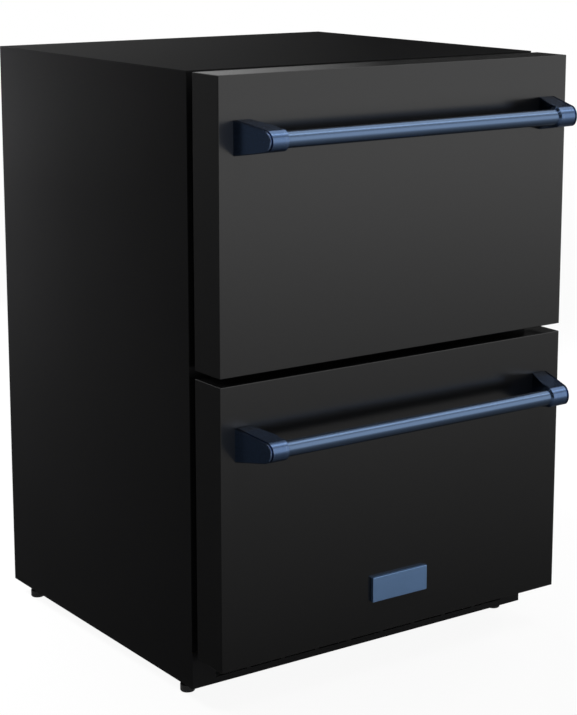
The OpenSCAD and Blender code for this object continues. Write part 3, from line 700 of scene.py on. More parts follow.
@dataclass(frozen=True)
class Finish:
    """One surface finish, made as a material at its first use.

    The colour drifts by `drift` with broad noise and turns to its edge colour along the edges:
    wear on most finishes, a painted highlight on the case's sheets and the brackets. Roughness
    swings by `swing`, and the grain or the streaks lift the surface by `relief`.
    """

    name: str
    slot: str
    color: Color
    worn_and_highlit_edge: Color
    roughness: float = 0.45
    swing: float = 0.06
    metallic: float = 0.0
    specular: float = 0.5
    coat: float = 0.0
    coat_roughness: float = 0.3
    drift: float = 0.08
    wear_and_highlight: float = 0.35
    grain: float = 900.0
    relief: float = 0.05 * MM
    brushed: Axis | None = None
    glow: float = 0.0

    def material(self) -> bpy.types.Material:
        """Finds the material, built at its first use.

        Returns:
            The material.
        """
        if self.name not in MATERIALS:
            MATERIALS[self.name] = self.build()
        return MATERIALS[self.name]

    def build(self) -> bpy.types.Material:
        """Builds the material's nodes.

        Returns:
            The new material.
        """
        made = bpy.data.materials.new(f"{self.name}_finish")
        made.use_nodes = True
        tree = made.node_tree
        shader = next(n for n in tree.nodes if n.type == "BSDF_PRINCIPLED")
        shader.inputs["Metallic"].default_value = self.metallic
        shader.inputs["Specular IOR Level"].default_value = self.specular
        shader.inputs["Coat Weight"].default_value = self.coat
        shader.inputs["Coat Roughness"].default_value = self.coat_roughness
        if self.glow > 0:
            shader.inputs["Emission Color"].default_value = (*self.color, 1.0)
            shader.inputs["Emission Strength"].default_value = self.glow
        vector = self.coordinates(tree)
        if self.brushed is None:
            pattern = add_group(tree, "coat_grain", vector, Grain=self.grain)
            fine, broad = pattern.outputs["Grain"], pattern.outputs["Cloud"]
        else:
            pattern = add_group(tree, "brush_streaks", vector)
            fine, broad = pattern.outputs["Fine"], pattern.outputs["Wide"]
        edges = add_group(tree, "edge_wear_and_highlight_mask", self.plain_coordinates(tree))
        self.join_color(tree, shader, broad, edges.outputs["Mask"])
        self.join_roughness(tree, shader, fine)
        bump = tree.nodes.new("ShaderNodeBump")
        bump.inputs["Strength"].default_value = BUMP_STRENGTH
        bump.inputs["Distance"].default_value = self.relief
        join(tree, fine, bump.inputs["Height"])
        join(tree, bump.outputs["Normal"], shader.inputs["Normal"])
        return made

    def plain_coordinates(self, tree: Tree) -> Socket:
        """Returns the piece's own coordinates."""
        return tree.nodes.new("ShaderNodeTexCoord").outputs["Object"]

    def coordinates(self, tree: Tree) -> Socket:
        """Finds the piece's coordinates, drawn out along the brushed axis.

        Args:
            tree: the material's nodes.

        Returns:
            The coordinates.
        """
        source = self.plain_coordinates(tree)
        if self.brushed is None:
            return source
        mapping = tree.nodes.new("ShaderNodeMapping")
        stretch = [STREAK_ACROSS] * 3
        stretch[self.brushed.value] = STREAK_ALONG
        mapping.inputs["Scale"].default_value = stretch
        join(tree, source, mapping.inputs["Vector"])
        return mapping.outputs["Vector"]

    def join_color(self, tree: Tree, shader: bpy.types.Node, broad: Socket, edges: Socket) -> None:
        """Links the drifting colour and its edge colour to the shader: worn edges on most finishes, a
        painted highlight on some.

        Args:
            tree: the material's nodes.
            shader: its shader.
            broad: the broad noise that the colour drifts with.
            edges: the mask of the edges, where the wear and the painted highlight go.
        """
        drift = tree.nodes.new("ShaderNodeMix")
        drift.data_type = "RGBA"
        pale = (min(1.0, c * (1 + self.drift)) for c in self.color)
        drift.inputs[MIX_FIRST].default_value = (*[c * (1 - self.drift) for c in self.color], 1.0)
        drift.inputs[MIX_SECOND].default_value = (*pale, 1.0)
        join(tree, broad, drift.inputs[MIX_SHARE])
        # Edge colour: wear on most finishes, a painted highlight along the case's sheets and the
        # brackets' rims
        worn_and_highlit_edge = tree.nodes.new("ShaderNodeMix")
        worn_and_highlit_edge.data_type = "RGBA"
        join(tree, drift.outputs[MIX_RESULT], worn_and_highlit_edge.inputs[MIX_FIRST])
        worn_and_highlit_edge.inputs[MIX_SECOND].default_value = (*self.worn_and_highlit_edge, 1.0)
        join(tree, math_node(tree, "MULTIPLY", edges, self.wear_and_highlight), worn_and_highlit_edge.inputs[MIX_SHARE])
        join(tree, worn_and_highlit_edge.outputs[MIX_RESULT], shader.inputs["Base Color"])

    def join_roughness(self, tree: Tree, shader: bpy.types.Node, fine: Socket) -> None:
        """Links the swinging roughness to the shader.

        Args:
            tree: the material's nodes.
            shader: its shader.
            fine: the fine noise that the roughness swings with.
        """
        ends = (self.roughness - self.swing, self.roughness + self.swing)
        join(tree, map_range(tree, fine, NOISE_SPAN, ends), shader.inputs["Roughness"])


# Pale edge colour at a high share: a painted highlight along the rounded edges of the case's sheets
CASE_BLACK = Finish("case_black", "case_black", (0.0095, 0.0095, 0.0098), (0.11, 0.11, 0.113),
                    0.5, specular=0.0, coat=0.16, wear_and_highlight=0.7, relief=0.03 * MM)
FRONT_BLACK = Finish("front_black", "front_black", (0.0065, 0.0065, 0.0067), (0.05, 0.05, 0.052),
                     0.2, 0.02, specular=0.66, relief=0.01 * MM)
TOE_BLACK = Finish("toe_black", "case_black", (0.012, 0.012, 0.0125), (0.05, 0.05, 0.052),
                   0.55, specular=0.1, coat=0.05, coat_roughness=0.4)
# Near-black paint, darkened further as painted shade for the gap round the drawer fronts
FRAME_BLACK = Finish("frame_black", "frame_black", (0.007, 0.007, 0.0075), (0.03, 0.03, 0.03), 0.5,
                     specular=0.15)
BLUE_METAL = Finish("blue_metal", "blue_steel", (0.14, 0.21, 0.34), (0.3, 0.42, 0.62),
                    0.24, 0.03, metallic=1.0, drift=0.05, wear_and_highlight=0.5, brushed=Axis.X, relief=0.02 * MM)
# Near-white edge colour at full share: a painted highlight along the brackets' chamfered rims
BRACKET_BLUE = Finish("bracket_blue", "blue_steel", (0.125, 0.198, 0.355), (0.8, 0.84, 0.9),
                      0.24, 0.04, metallic=1.0, drift=0.06, wear_and_highlight=1.0, grain=1400.0, relief=0.01 * MM)
BADGE_BLUE = Finish("badge_blue", "badge_blue", (0.27, 0.45, 0.76), (0.75, 0.86, 1.0),
                    0.5, 0.1, metallic=1.0, drift=0.16, wear_and_highlight=1.0, grain=2600.0, relief=0.03 * MM)
GALVANISED = Finish("galvanised", "bare_steel", (0.5, 0.51, 0.52), (0.7, 0.7, 0.7), 0.42, 0.12,
                    metallic=0.9, drift=0.16, wear_and_highlight=0.4, grain=300.0)
SLIDE_STEEL = Finish("slide_steel", "bare_steel", (0.6, 0.61, 0.62), (0.8, 0.8, 0.8), 0.34, 0.08,
                     metallic=0.55, drift=0.06, brushed=Axis.Y, relief=0.02 * MM)
SCREW_STEEL = Finish("screw_steel", "bare_steel", (0.5, 0.5, 0.51), (0.8, 0.8, 0.8), 0.28, 0.06,
                     metallic=1.0)
WHITE_PLASTIC = Finish("white_plastic", "white_plastic", (0.75, 0.76, 0.77), (0.85, 0.85, 0.85),
                       0.3, 0.04, drift=0.03, wear_and_highlight=0.2, grain=500.0, relief=0.02 * MM)
BIN_PLASTIC = Finish("bin_plastic", "white_plastic", (0.7, 0.72, 0.74), (0.88, 0.88, 0.88),
                     0.22, 0.04, drift=0.03, wear_and_highlight=0.3, grain=400.0, relief=0.015 * MM)
DARK_PLASTIC = Finish("dark_plastic", "dark_plastic", (0.03, 0.03, 0.032), (0.1, 0.1, 0.1),
                      0.5, 0.08, grain=700.0)
KEY_PLASTIC = Finish("key_plastic", "key_plastic", (0.55, 0.56, 0.57), (0.75, 0.75, 0.75), 0.4, 0.05)
DISPLAY_GLASS = Finish("display_glass", "dark_plastic", (0.006, 0.006, 0.008), (0.05, 0.05, 0.05),
                       0.08, 0.02, coat=0.5, coat_roughness=0.05, relief=0.005 * MM)
# Black rubber, darkened further as painted shade for the gasket in the gap round the drawer fronts
SEAL_RUBBER = Finish("seal_rubber", "seal_rubber", (0.005, 0.005, 0.0055), (0.015, 0.015, 0.015),
                     0.65, 0.08, specular=0.1, grain=1200.0)
FOOT_BLACK = Finish("foot_black", "dark_plastic", (0.008, 0.008, 0.0085), (0.05, 0.05, 0.05),
                    0.55, 0.08, specular=0.2)
LAMP_LENS = Finish("lamp_lens", "lamp", (0.86, 0.88, 0.84), (0.95, 0.95, 0.95), 0.25, 0.04,
                   drift=0.02, glow=1.5)
FOAM = Finish("foam", "foam", (0.62, 0.5, 0.24), (0.7, 0.6, 0.35), 0.85, 0.06, drift=0.2, grain=260.0,
              relief=0.4 * MM)
COPPER = Finish("copper", "copper", (0.72, 0.36, 0.2), (0.9, 0.6, 0.4), 0.32, 0.1,
                metallic=1.0, drift=0.2)
FIN_METAL = Finish("fin_metal", "fin_metal", (0.68, 0.69, 0.7), (0.85, 0.85, 0.85), 0.35, 0.08,
                   metallic=1.0)
SHELL_BLACK = Finish("shell_black", "shell_black", (0.012, 0.012, 0.013), (0.08, 0.08, 0.08),
                     0.28, 0.08, coat=0.4, coat_roughness=0.15)

# Finishes of the nodes whose own meshes stay in view
NODE_FINISHES: dict[str, Finish] = {
    "liner_upper": WHITE_PLASTIC, "liner_lower": WHITE_PLASTIC, "insulation": FOAM,
    "rails_upper": SLIDE_STEEL, "rails_lower": SLIDE_STEEL, "bulkhead": GALVANISED,
    "evaporator": FIN_METAL, "evaporator_cover": WHITE_PLASTIC, "evaporator_fan_motor": DARK_PLASTIC,
    "evaporator_fan_wheel": DARK_PLASTIC, "compressor": SHELL_BLACK, "compressor_mounts": SEAL_RUBBER,
    "condenser": SHELL_BLACK, "condenser_fan_motor": DARK_PLASTIC, "condenser_fan_wheel": DARK_PLASTIC,
    "drip_tray": DARK_PLASTIC, "refrigerant_pipes": COPPER, "control_box": GALVANISED,
    "front_foam_upper": FOAM, "front_foam_lower": FOAM, "base_pan": GALVANISED,
    "mid_upper_left": SLIDE_STEEL, "mid_upper_right": SLIDE_STEEL, "mid_lower_left": SLIDE_STEEL,
    "mid_lower_right": SLIDE_STEEL, "runners_upper": SLIDE_STEEL, "runners_lower": SLIDE_STEEL,
}


# ---- Sub-assemblies ----


@dataclass
class Cabinet:
    """Sheet-metal case with its front frame, rear panels, toe kick and screws."""

    body: str = "cabinet"
    sheet_edge: float = 0.45 * MM
    frame_edge: float = 0.4 * MM
    rear_edge: float = 0.3 * MM
    head_radius: float = 4.0 * MM
    head_drop: float = 0.72
    recess_half: float = 0.55 * MM
    recess_reach: float = 0.62
    recess_depth: float = 0.9 * MM

    def build(self) -> None:
        """Rounds the sheets' edges and adds the screws."""
        for node in ("side_panel_left", "side_panel_right", "top_panel"):
            softened(node, CASE_BLACK, self.body, self.sheet_edge, 3)
        softened("toe_kick", TOE_BLACK, self.body, self.frame_edge)
        softened("front_frame", FRAME_BLACK, self.body, self.frame_edge)
        softened("centre_mullion", FRAME_BLACK, self.body, self.frame_edge)
        softened("rear_cover", TOE_BLACK, self.body, self.rear_edge)
        softened("back_panel", GALVANISED, self.body, self.rear_edge)
        self.screws()

    def screws(self) -> None:
        """Makes each case screw a low dome with a cross-shaped recess.

        With s the radius as a share of the head's, the dome's height is the head's times the
        square root of 1 - head_drop * s * s. It's lower by the recess where the point lies inside
        the cross's arms and within its reach.
        """
        low, high = (np.array(c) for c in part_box("case_screws"))
        head = high[1] - low[1]
        share = np.linspace(1.0, 0.06, 9)
        _, circle = full_circle(48)
        flat = share[:, None, None] * self.head_radius * circle[None]
        dome = head * np.sqrt(1 - self.head_drop * share**2)
        arm = np.minimum(np.abs(flat[..., 0]), np.abs(flat[..., 1])) < self.recess_half
        inside = arm & (share[:, None] < self.recess_reach)
        rise = dome[:, None] - np.where(inside, self.recess_depth, 0.0)
        surfaces = []
        for x, z in self.screw_places():
            base = place(flat[:1], 0.0, Axis.Y, (x, low[1], z))
            top = place(flat, rise, Axis.Y, (x, low[1], z))
            surfaces.append(Surface(np.concatenate([base, top])))
        make_piece("case_screw_heads", surfaces, SCREW_STEEL, self.body, "case_screws")

    def screw_places(self) -> list[tuple[float, float]]:
        """Finds each screw's place from the node's points, three head radii apart at least.

        Returns:
            Pairs of X and Z.
        """
        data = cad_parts["case_screws"].data
        points = np.empty(len(data.vertices) * 3, np.float32)
        data.vertices.foreach_get("co", points)
        flat = points.reshape(-1, 3)[:, [0, 2]].astype(float)
        left, found = flat, []
        while len(left):
            near = np.linalg.norm(left - left[0], axis=1) < 3 * self.head_radius
            group = left[near]
            found.append(tuple((group.min(0) + group.max(0)) / 2))
            left = left[~near]
        return found


# Section of the gasket from foot to magnetic head, as shares of its width and depth
GASKET_PROFILE = (
    (0.0, 0.0), (1.0, 0.0), (1.0, 0.12), (0.86, 0.2), (0.8, 0.3), (0.72, 0.34), (0.8, 0.4),
    (0.74, 0.46), (0.93, 0.52), (0.97, 0.62), (0.97, 0.9), (0.9, 1.0), (0.1, 1.0), (0.03, 0.9),
    (0.03, 0.62), (0.07, 0.52), (0.26, 0.46), (0.2, 0.4), (0.28, 0.34), (0.2, 0.3), (0.14, 0.2),
    (0.0, 0.12),
)


@dataclass
class Drawer:
    """One drawer: front, gasket, handle, bin and runners."""

    level: str
    panel_edge: float = 1.5 * MM
    bin_edge: float = 0.9 * MM
    front_edge: float = 1.0 * MM
    front_corner: float = 0.9 * MM
    hem: float = 19.0 * MM
    hem_proud: float = 0.25 * MM
    gasket_width: float = 14.0 * MM
    gasket_corner: float = 3 * MM
    bar_edge: float = 0.6 * MM
    bar_rings: Span = (2 * MM, 20 * MM)
    nose_radius: float = 14.65 * MM
    root_height: float = 46.6 * MM
    root_width: float = 27.5 * MM
    lean: float = 13.8 * MM
    nose_width: float = 27.2 * MM
    collar: float = 5.0 * MM
    collar_lip: float = 0.1 * MM
    # Share of the collar's length after which its cone begins
    cone_start: float = 0.45
    chamfer: float = 0.9 * MM
    groove_width: float = 3.4 * MM
    groove_depth: float = 4.0 * MM
    # From the chamfer to the groove, and the rings that keep each bend's shading crisp
    shoulder: float = 0.4 * MM
    support: float = 0.04 * MM
    groove_support: float = 0.1 * MM

    @property
    def body(self) -> str:
        """Name of the body that the drawer is."""
        return f"drawer_{self.level}"

    def node(self, part: str) -> str:
        """Name of one of the drawer's nodes."""
        return f"{part}_{self.level}"

    def build(self) -> None:
        """Builds every visible piece of the drawer."""
        self.front_skin()
        self.gasket()
        self.bar()
        self.brackets()
        softened(self.node("inner_panel"), WHITE_PLASTIC, self.body, self.panel_edge, 3)
        softened(self.node("bin"), BIN_PLASTIC, self.body, self.bin_edge)

    def front_skin(self) -> None:
        """Makes the folded skin: a face with a rounded rim, straight sides and a hem behind.

        The hem runs inwards over the back, stands a little proud of it and ends in a turned edge.
        """
        low, high = (np.array(c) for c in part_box(self.node("front")))
        size, middle = high - low, (low + high) / 2
        back, fold, proud = size[1], self.hem, size[1] + self.hem_proud
        hem = np.array([
            (0.0, back - 0.5 * MM), (0.15 * MM, back - 0.1 * MM), (0.5 * MM, proud),
            (0.7 * MM, proud), (fold - 0.2 * MM, proud), (fold, proud - 0.1 * MM),
            (fold, back - 1.5 * MM),
        ])
        inset, depth = quarter_round(self.front_edge)
        rings = inset_rings(
            size[[0, 2]], self.front_corner, np.concatenate([inset, hem[:, 0]]),
            np.concatenate([depth, hem[:, 1]]), Axis.Y, (middle[0], low[1], middle[2]),
        )
        skin = Surface(rings, last=Cap.OPEN)
        make_piece(self.node("front_skin"), [skin], FRONT_BLACK, self.body, self.node("front"))

    def gasket(self) -> None:
        """Makes the gasket: a foot, two folds of bellows and a rounded magnetic head."""
        low, high = (np.array(c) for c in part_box(self.node("gasket")))
        wide, deep = self.gasket_width, high[1] - low[1]
        opening = (high - low)[[0, 2]] - 2 * wide
        middle = (low + high) / 2
        ring = swept_frame(np.array(GASKET_PROFILE) * (wide, deep), *opening, self.gasket_corner,
                           (middle[0], low[1], middle[2]))
        make_piece(self.node("gasket_bellows"), [ring], SEAL_RUBBER, self.body, self.node("gasket"))

    def bar(self) -> None:
        """Makes the bar: a turned tube with a chamfer at each end.

        Its rings are spaced evenly from near the end to near the middle.
        """
        low, high = (np.array(c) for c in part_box(self.node("handle_bar")))
        middle = tuple((low + high) / 2)
        radius, reach = (high[2] - low[2]) / 2, (high[0] - low[0]) / 2
        half = [(radius - self.bar_edge, -reach), (radius, -reach + self.bar_edge)]
        near_end, near_middle = self.bar_rings
        half += [(radius, x) for x in np.linspace(near_end - reach, -near_middle, 5)]
        profile = np.array(half + [(r, -x) for r, x in reversed(half)])
        tube = lathe(profile, Axis.X, middle, 96)
        make_piece(self.node("handle_tube"), [tube], BLUE_METAL, self.body, self.node("handle_bar"))

    def outline(self, run: float, inset: float) -> Array:
        """Side outline of a bracket, drawn in by a small distance.

        The straight edges run tangent to the round nose: with t the angle of the touching point,
        a straight edge holds y cos t + z sin t = radius - inset.

        Args:
            run: from the bar's axis to the drawer front.
            inset: how far the outline is drawn in.

        Returns:
            Pairs (distance from the axis towards the front, height), the second half mirroring
            the first.
        """
        reach = math.hypot(run, self.root_height / 2)
        touch = math.atan2(self.root_height / 2, run) + math.acos(self.nose_radius / reach)
        radius = self.nose_radius - inset
        angle = np.linspace(touch, math.pi, 20)
        nose = radius * np.stack([np.cos(angle), np.sin(angle)], -1)
        along = np.array([run, run * 0.7, self.nose_radius, self.nose_radius * 0.4])
        edge = np.stack([along, (radius - along * math.cos(touch)) / math.sin(touch)], -1)
        upper = np.concatenate([edge, nose[:-1], nose[-1:] + (0, HALF_GAP)])
        return np.concatenate([upper, upper[::-1] * (1, -1)])

    def brackets(self) -> None:
        """Makes both brackets, each with a chamfered rim, a groove behind it and a collar.

        The outer face leans inwards in proportion to the distance from the root. The inner face
        is straight beside the nose and runs from there to the root's width.
        """
        bar_low, bar_high = (np.array(c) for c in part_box(self.node("handle_bar")))
        axis_y, axis_z = (bar_low[1] + bar_high[1]) / 2, (bar_low[2] + bar_high[2]) / 2
        front_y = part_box(self.node("front"))[0][1]
        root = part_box(self.node("handle_brackets"))[1][0]
        run = front_y - axis_y
        reach = run + self.nose_radius
        nose_in = root - self.lean - self.nose_width

        def ring(inset: float, outer: float | None, inner: float | None) -> Array:
            """One outline of the bracket, laid against its outer or inner face.

            Args:
                inset: how far the outline is drawn in.
                outer: distance inwards from the leaning outer face, or None.
                inner: distance outwards from the inner face, used where outer is None.

            Returns:
                Points in the frame of the solids.
            """
            side = self.outline(run, inset)
            if outer is not None:
                x = root - self.lean * (run - side[:, 0]) / reach - outer
            else:
                slope = (root - self.root_width - nose_in) / (run - self.nose_radius)
                x = nose_in + slope * np.maximum(side[:, 0] - self.nose_radius, 0) + inner
            return np.stack([x, axis_y + side[:, 0], axis_z + side[:, 1]], -1)

        cut, soft, step = self.chamfer, self.support, self.groove_support
        start = cut + self.shoulder
        end = start + self.groove_width
        outer = [
            (cut + 2 * soft, 0.0), (cut + soft, 0.0), (cut, soft), (soft, cut), (0.0, cut + soft),
            (0.0, start - step), (0.0, start), (self.groove_depth, start + step),
            (self.groove_depth, end - step), (0.0, end), (0.0, end + step),
        ]
        inner = [(0.0, 0.6 * MM), (0.18 * MM, 0.18 * MM), (0.6 * MM, 0.0)]
        rings = [ring(i, d, None) for i, d in outer] + [ring(i, None, d) for i, d in inner]
        wedge = Surface(np.array(rings), Cap.STRIPS, Cap.STRIPS)
        bar_radius = (bar_high[2] - bar_low[2]) / 2
        nose, tip, slope = self.nose_radius, bar_radius + self.collar_lip, self.collar * self.cone_start
        profile = np.array([
            (nose - 0.3 * MM, 2 * MM), (nose, 1.6 * MM), (nose, -slope + 0.3 * MM),
            (nose, -slope + 0.1 * MM), (nose - 0.15 * MM, -slope - 0.05 * MM),
            (tip, -self.collar + 0.02 * MM), (tip - 0.03 * MM, -self.collar),
            (bar_radius - 0.5 * MM, -self.collar),
        ])
        collar = lathe(profile, Axis.X, (nose_in, axis_y, axis_z), 96)
        flip = np.array([-1, 1, 1])
        mirrored = [Surface(wedge.rings * flip, Cap.STRIPS, Cap.STRIPS), Surface(collar.rings * flip)]
        make_piece(self.node("handle_brackets_pair"), [wedge, collar, *mirrored], BRACKET_BLUE,
                   self.body, self.node("handle_brackets"))


@dataclass
class BadgePlate:
    """Bare plate near the lower front's lower edge."""

    edge: float = 0.7 * MM
    corner: float = 1.2 * MM

    def build(self) -> None:
        """Makes the plate with rounded edges."""
        low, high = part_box("badge_plate")
        plate = rounded_box(low, high, self.edge, self.corner, Axis.Y)
        make_piece("bare_plate", [plate], BADGE_BLUE, "drawer_lower", "badge_plate")


@dataclass
class Feet:
    """Four levelling feet, each with a ribbed pad, a hexagon and a threaded stem."""

    pitch: float = 1.25 * MM
    depth: float = 0.5 * MM
    ribs: int = 24
    rib_depth: float = 0.25 * MM
    stem_radius: float = 4 * MM
    stem_low: float = 18 * MM
    stem_end: float = 1 * MM
    nut_radius: float = 7.0 * MM
    nut_edge: float = 0.4 * MM
    nut_span: Span = (12 * MM, 18.7 * MM)
    places: tuple[str, ...] = ("front_left", "front_right", "rear_left", "rear_right")

    def build(self) -> None:
        """Builds each foot on its own body."""
        (start, end), edge, wide = self.nut_span, self.nut_edge, self.nut_radius
        lower = [(wide - edge, start), (wide, start + edge)]
        nut = np.array([*lower, (wide, end - edge), (wide - edge, end)])
        for name in self.places:
            low, high = (np.array(c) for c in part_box(f"foot_{name}"))
            middle = (*((low + high) / 2)[:2], 0.0)
            pad = self.pad((high[0] - low[0]) / 2, middle)
            hexagon = lathe(nut, Axis.Z, middle, 6)
            stem = screw_thread(self.stem_radius, self.depth, self.pitch, self.stem_low,
                                high[2] - self.stem_end, middle)
            make_piece(f"foot_{name}_pad", [pad, hexagon, stem], FOOT_BLACK, f"foot_{name}",
                       f"foot_{name}")

    def pad(self, radius: float, middle: Point) -> Surface:
        """A ribbed pad: the radius dips between the ribs as a cosine of the angle.

        The rows run from the floor up, with a rounded foot, the ribbed band and a rounded top.

        Args:
            radius: outer radius.
            middle: the foot's axis on the floor.

        Returns:
            The pad's surface.
        """
        heights = np.array([0.0, 0.4, 1.5, 2.5, 10.5, 11.4, 12.0]) * MM
        reach = radius - np.array([1.0, 0.6, 0.0, 0.0, 0.0, 0.4, 1.2]) * MM
        ribbed = np.array([0.0, 0.0, 0.0, 1.0, 1.0, 0.0, 0.0])[:, None]
        angle, circle = full_circle(6 * self.ribs)
        dips = self.rib_depth * (1 - np.cos(self.ribs * angle))[None, :] * ribbed
        flat = (reach[:, None] - dips)[..., None] * circle[None]
        return Surface(place(flat, heights[:, None].repeat(len(angle), 1), Axis.Z, middle))


@dataclass
class Controls:
    """Control housing with its display window, keys and lamps."""

    keys: tuple[str, ...] = ("power", "colder", "warmer", "light")
    housing_edge: float = 0.8 * MM
    key_edge: float = 0.5 * MM
    key_corner: float = 1.2 * MM
    window: tuple[float, float] = (22 * MM, 14 * MM)
    window_side: float = 8 * MM
    window_half_depth: float = 0.4 * MM
    window_edge: float = 0.2 * MM
    window_corner: float = 1.0 * MM
    lens_height: float = 8 * MM
    lens_ribs: int = 18
    lens_rib_depth: float = 0.35 * MM

    def build(self) -> None:
        """Builds the housing's pieces."""
        softened("control_panel", DARK_PLASTIC, "cabinet", self.housing_edge, 3)
        low, high = (np.array(c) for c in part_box("control_panel"))
        for key in self.keys:
            box_low, box_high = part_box(f"key_{key}")
            cap = rounded_box(box_low, box_high, self.key_edge, self.key_corner, Axis.Y)
            make_piece(f"key_{key}_cap", [cap], KEY_PLASTIC, f"key_{key}", f"key_{key}")
        x, z = low[0] + self.window_side, (low[2] + high[2]) / 2
        wide, half = self.window[0], self.window[1] / 2
        glass = rounded_box((x, low[1] - self.window_half_depth, z - half),
                            (x + wide, low[1] + self.window_half_depth, z + half),
                            self.window_edge, self.window_corner, Axis.Y)
        make_piece("display_window", [glass], DISPLAY_GLASS, "cabinet")
        self.lamps()

    def lamps(self) -> None:
        """Makes each lamp's lens: its lower face waves along X as a cosine."""
        low, high = (np.array(c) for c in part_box("led_lamps"))
        along = np.linspace(low[0], high[0], self.lens_ribs * 8 + 1)
        turn = 2 * math.pi * self.lens_ribs * (along - low[0]) / (high[0] - low[0])
        wave = self.lens_rib_depth * (1 + np.cos(turn))
        near = [(0.3 * MM, 0.0), (0.0, -2 * MM), (0.0, -6 * MM), (2 * MM, -self.lens_height)]
        far = [(high[1] - y, z) for y, z in reversed(near)]
        outline = np.array([(low[1] + y, z) for y, z in near] + far)
        lowest = outline[:, 1] < -self.lens_height + 1 * MM
        surfaces = []
        for top in (high[2], low[2] + self.lens_height):
            rings = np.stack([
                along[:, None].repeat(len(outline), 1),
                outline[None, :, 0].repeat(len(along), 0),
                top + outline[None, :, 1] + lowest[None, :] * wave[:, None],
            ], -1)
            surfaces.append(Surface(rings))
        make_piece("lamp_lenses", surfaces, LAMP_LENS, "cabinet", "led_lamps")


@dataclass
class CordGland:
    """Bushing in the rear cover, with a collar on each side of the sheet."""

    bore: float = 4.5 * MM
    neck: float = 8.2 * MM
    inner_collar: Span = (13.3 * MM, 15.8 * MM)
    outer_collar: float = 2.5 * MM
    edge: float = 0.8 * MM

    def build(self) -> None:
        """Makes the bushing as one turned ring, open through its middle."""
        low, high = (np.array(c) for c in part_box("cord_gland"))
        middle = ((low[0] + high[0]) / 2, low[1], (low[2] + high[2]) / 2)
        outer, length = (high[0] - low[0]) / 2, high[1] - low[1]
        bore, neck, edge, (start, end) = self.bore, self.neck, self.edge, self.inner_collar
        shoulder = length - self.outer_collar
        profile = [
            (bore, 0.0), (neck, 0.0), (neck, start), (outer, start), (outer, end), (neck, end),
            (neck, shoulder), (outer, shoulder), (outer, length - edge), (outer - edge, length),
            (bore + edge, length), (bore, length - edge),
        ]
        ring = lathe(np.array(profile), Axis.Y, middle, 48)
        ring.looped = True
        make_piece("gland_ring", [ring], DARK_PLASTIC, "cabinet", "cord_gland")


# ---- Studio ----


@dataclass(frozen=True)
class SoftBox:
    """One rectangular soft light that looks at a point."""

    name: str
    origin: Point
    aim: Point
    size: tuple[float, float]
    power: float

    def build(self) -> None:
        """Makes the lamp, which neither the camera nor a reflection shows."""
        data = bpy.data.lights.new(self.name, "AREA")
        data.shape = "RECTANGLE"
        data.size, data.size_y = self.size
        data.energy = self.power
        lamp = add_object(self.name, data)
        lamp.visible_camera = False
        lamp.visible_glossy = False
        look_at(lamp, self.origin, self.aim)


def look_at(item: bpy.types.Object, origin: Point, aim: Point) -> None:
    """Places an object and turns its -Z towards a point."""
    item.location = origin
    item.rotation_euler = (Vector(aim) - Vector(origin)).to_track_quat("-Z", "Y").to_euler()


@dataclass(frozen=True)
class Flag:
    """One grey card that only shows in reflections, as a photographer's flag does.

    It's a rectangle between two opposite corners, whose first side runs along `side`. Its
    brightness goes along `axis` from the first level to the second, over the span.
    """

    name: str
    start: Point
    end: Point
    axis: Axis
    span: Span
    levels: Span
    side: Axis = Axis.X

    def corners(self) -> list[list[float]]:
        """Lists the four corners.

        Returns:
            The corners in order round the card.
        """
        second, fourth = list(self.start), list(self.end)
        second[self.side.value] = self.end[self.side.value]
        fourth[self.side.value] = self.start[self.side.value]
        return [list(self.start), second, list(self.end), fourth]

    def build(self) -> None:
        """Makes the card."""
        mesh = bpy.data.meshes.new(self.name)
        mesh.from_pydata(self.corners(), [], [(0, 1, 2, 3)])
        card = add_object(self.name, mesh)
        mesh.materials.append(self.material())
        card.visible_camera = False
        card.visible_diffuse = False
        card.visible_transmission = False
        card.visible_shadow = False

    def material(self) -> bpy.types.Material:
        """Makes the graded grey of the card.

        Returns:
            The new material.
        """
        made, tree = plain_emitter(self.name)
        split = tree.nodes.new("ShaderNodeSeparateXYZ")
        join(tree, tree.nodes.new("ShaderNodeTexCoord").outputs["Object"], split.inputs[0])
        level = map_range(tree, split.outputs[self.axis.value], self.span, self.levels)
        grey = tree.nodes.new("ShaderNodeEmission")
        join(tree, level, grey.inputs["Strength"])
        join(tree, grey.outputs[0], tree.nodes.new("ShaderNodeOutputMaterial").inputs[0])
        return made


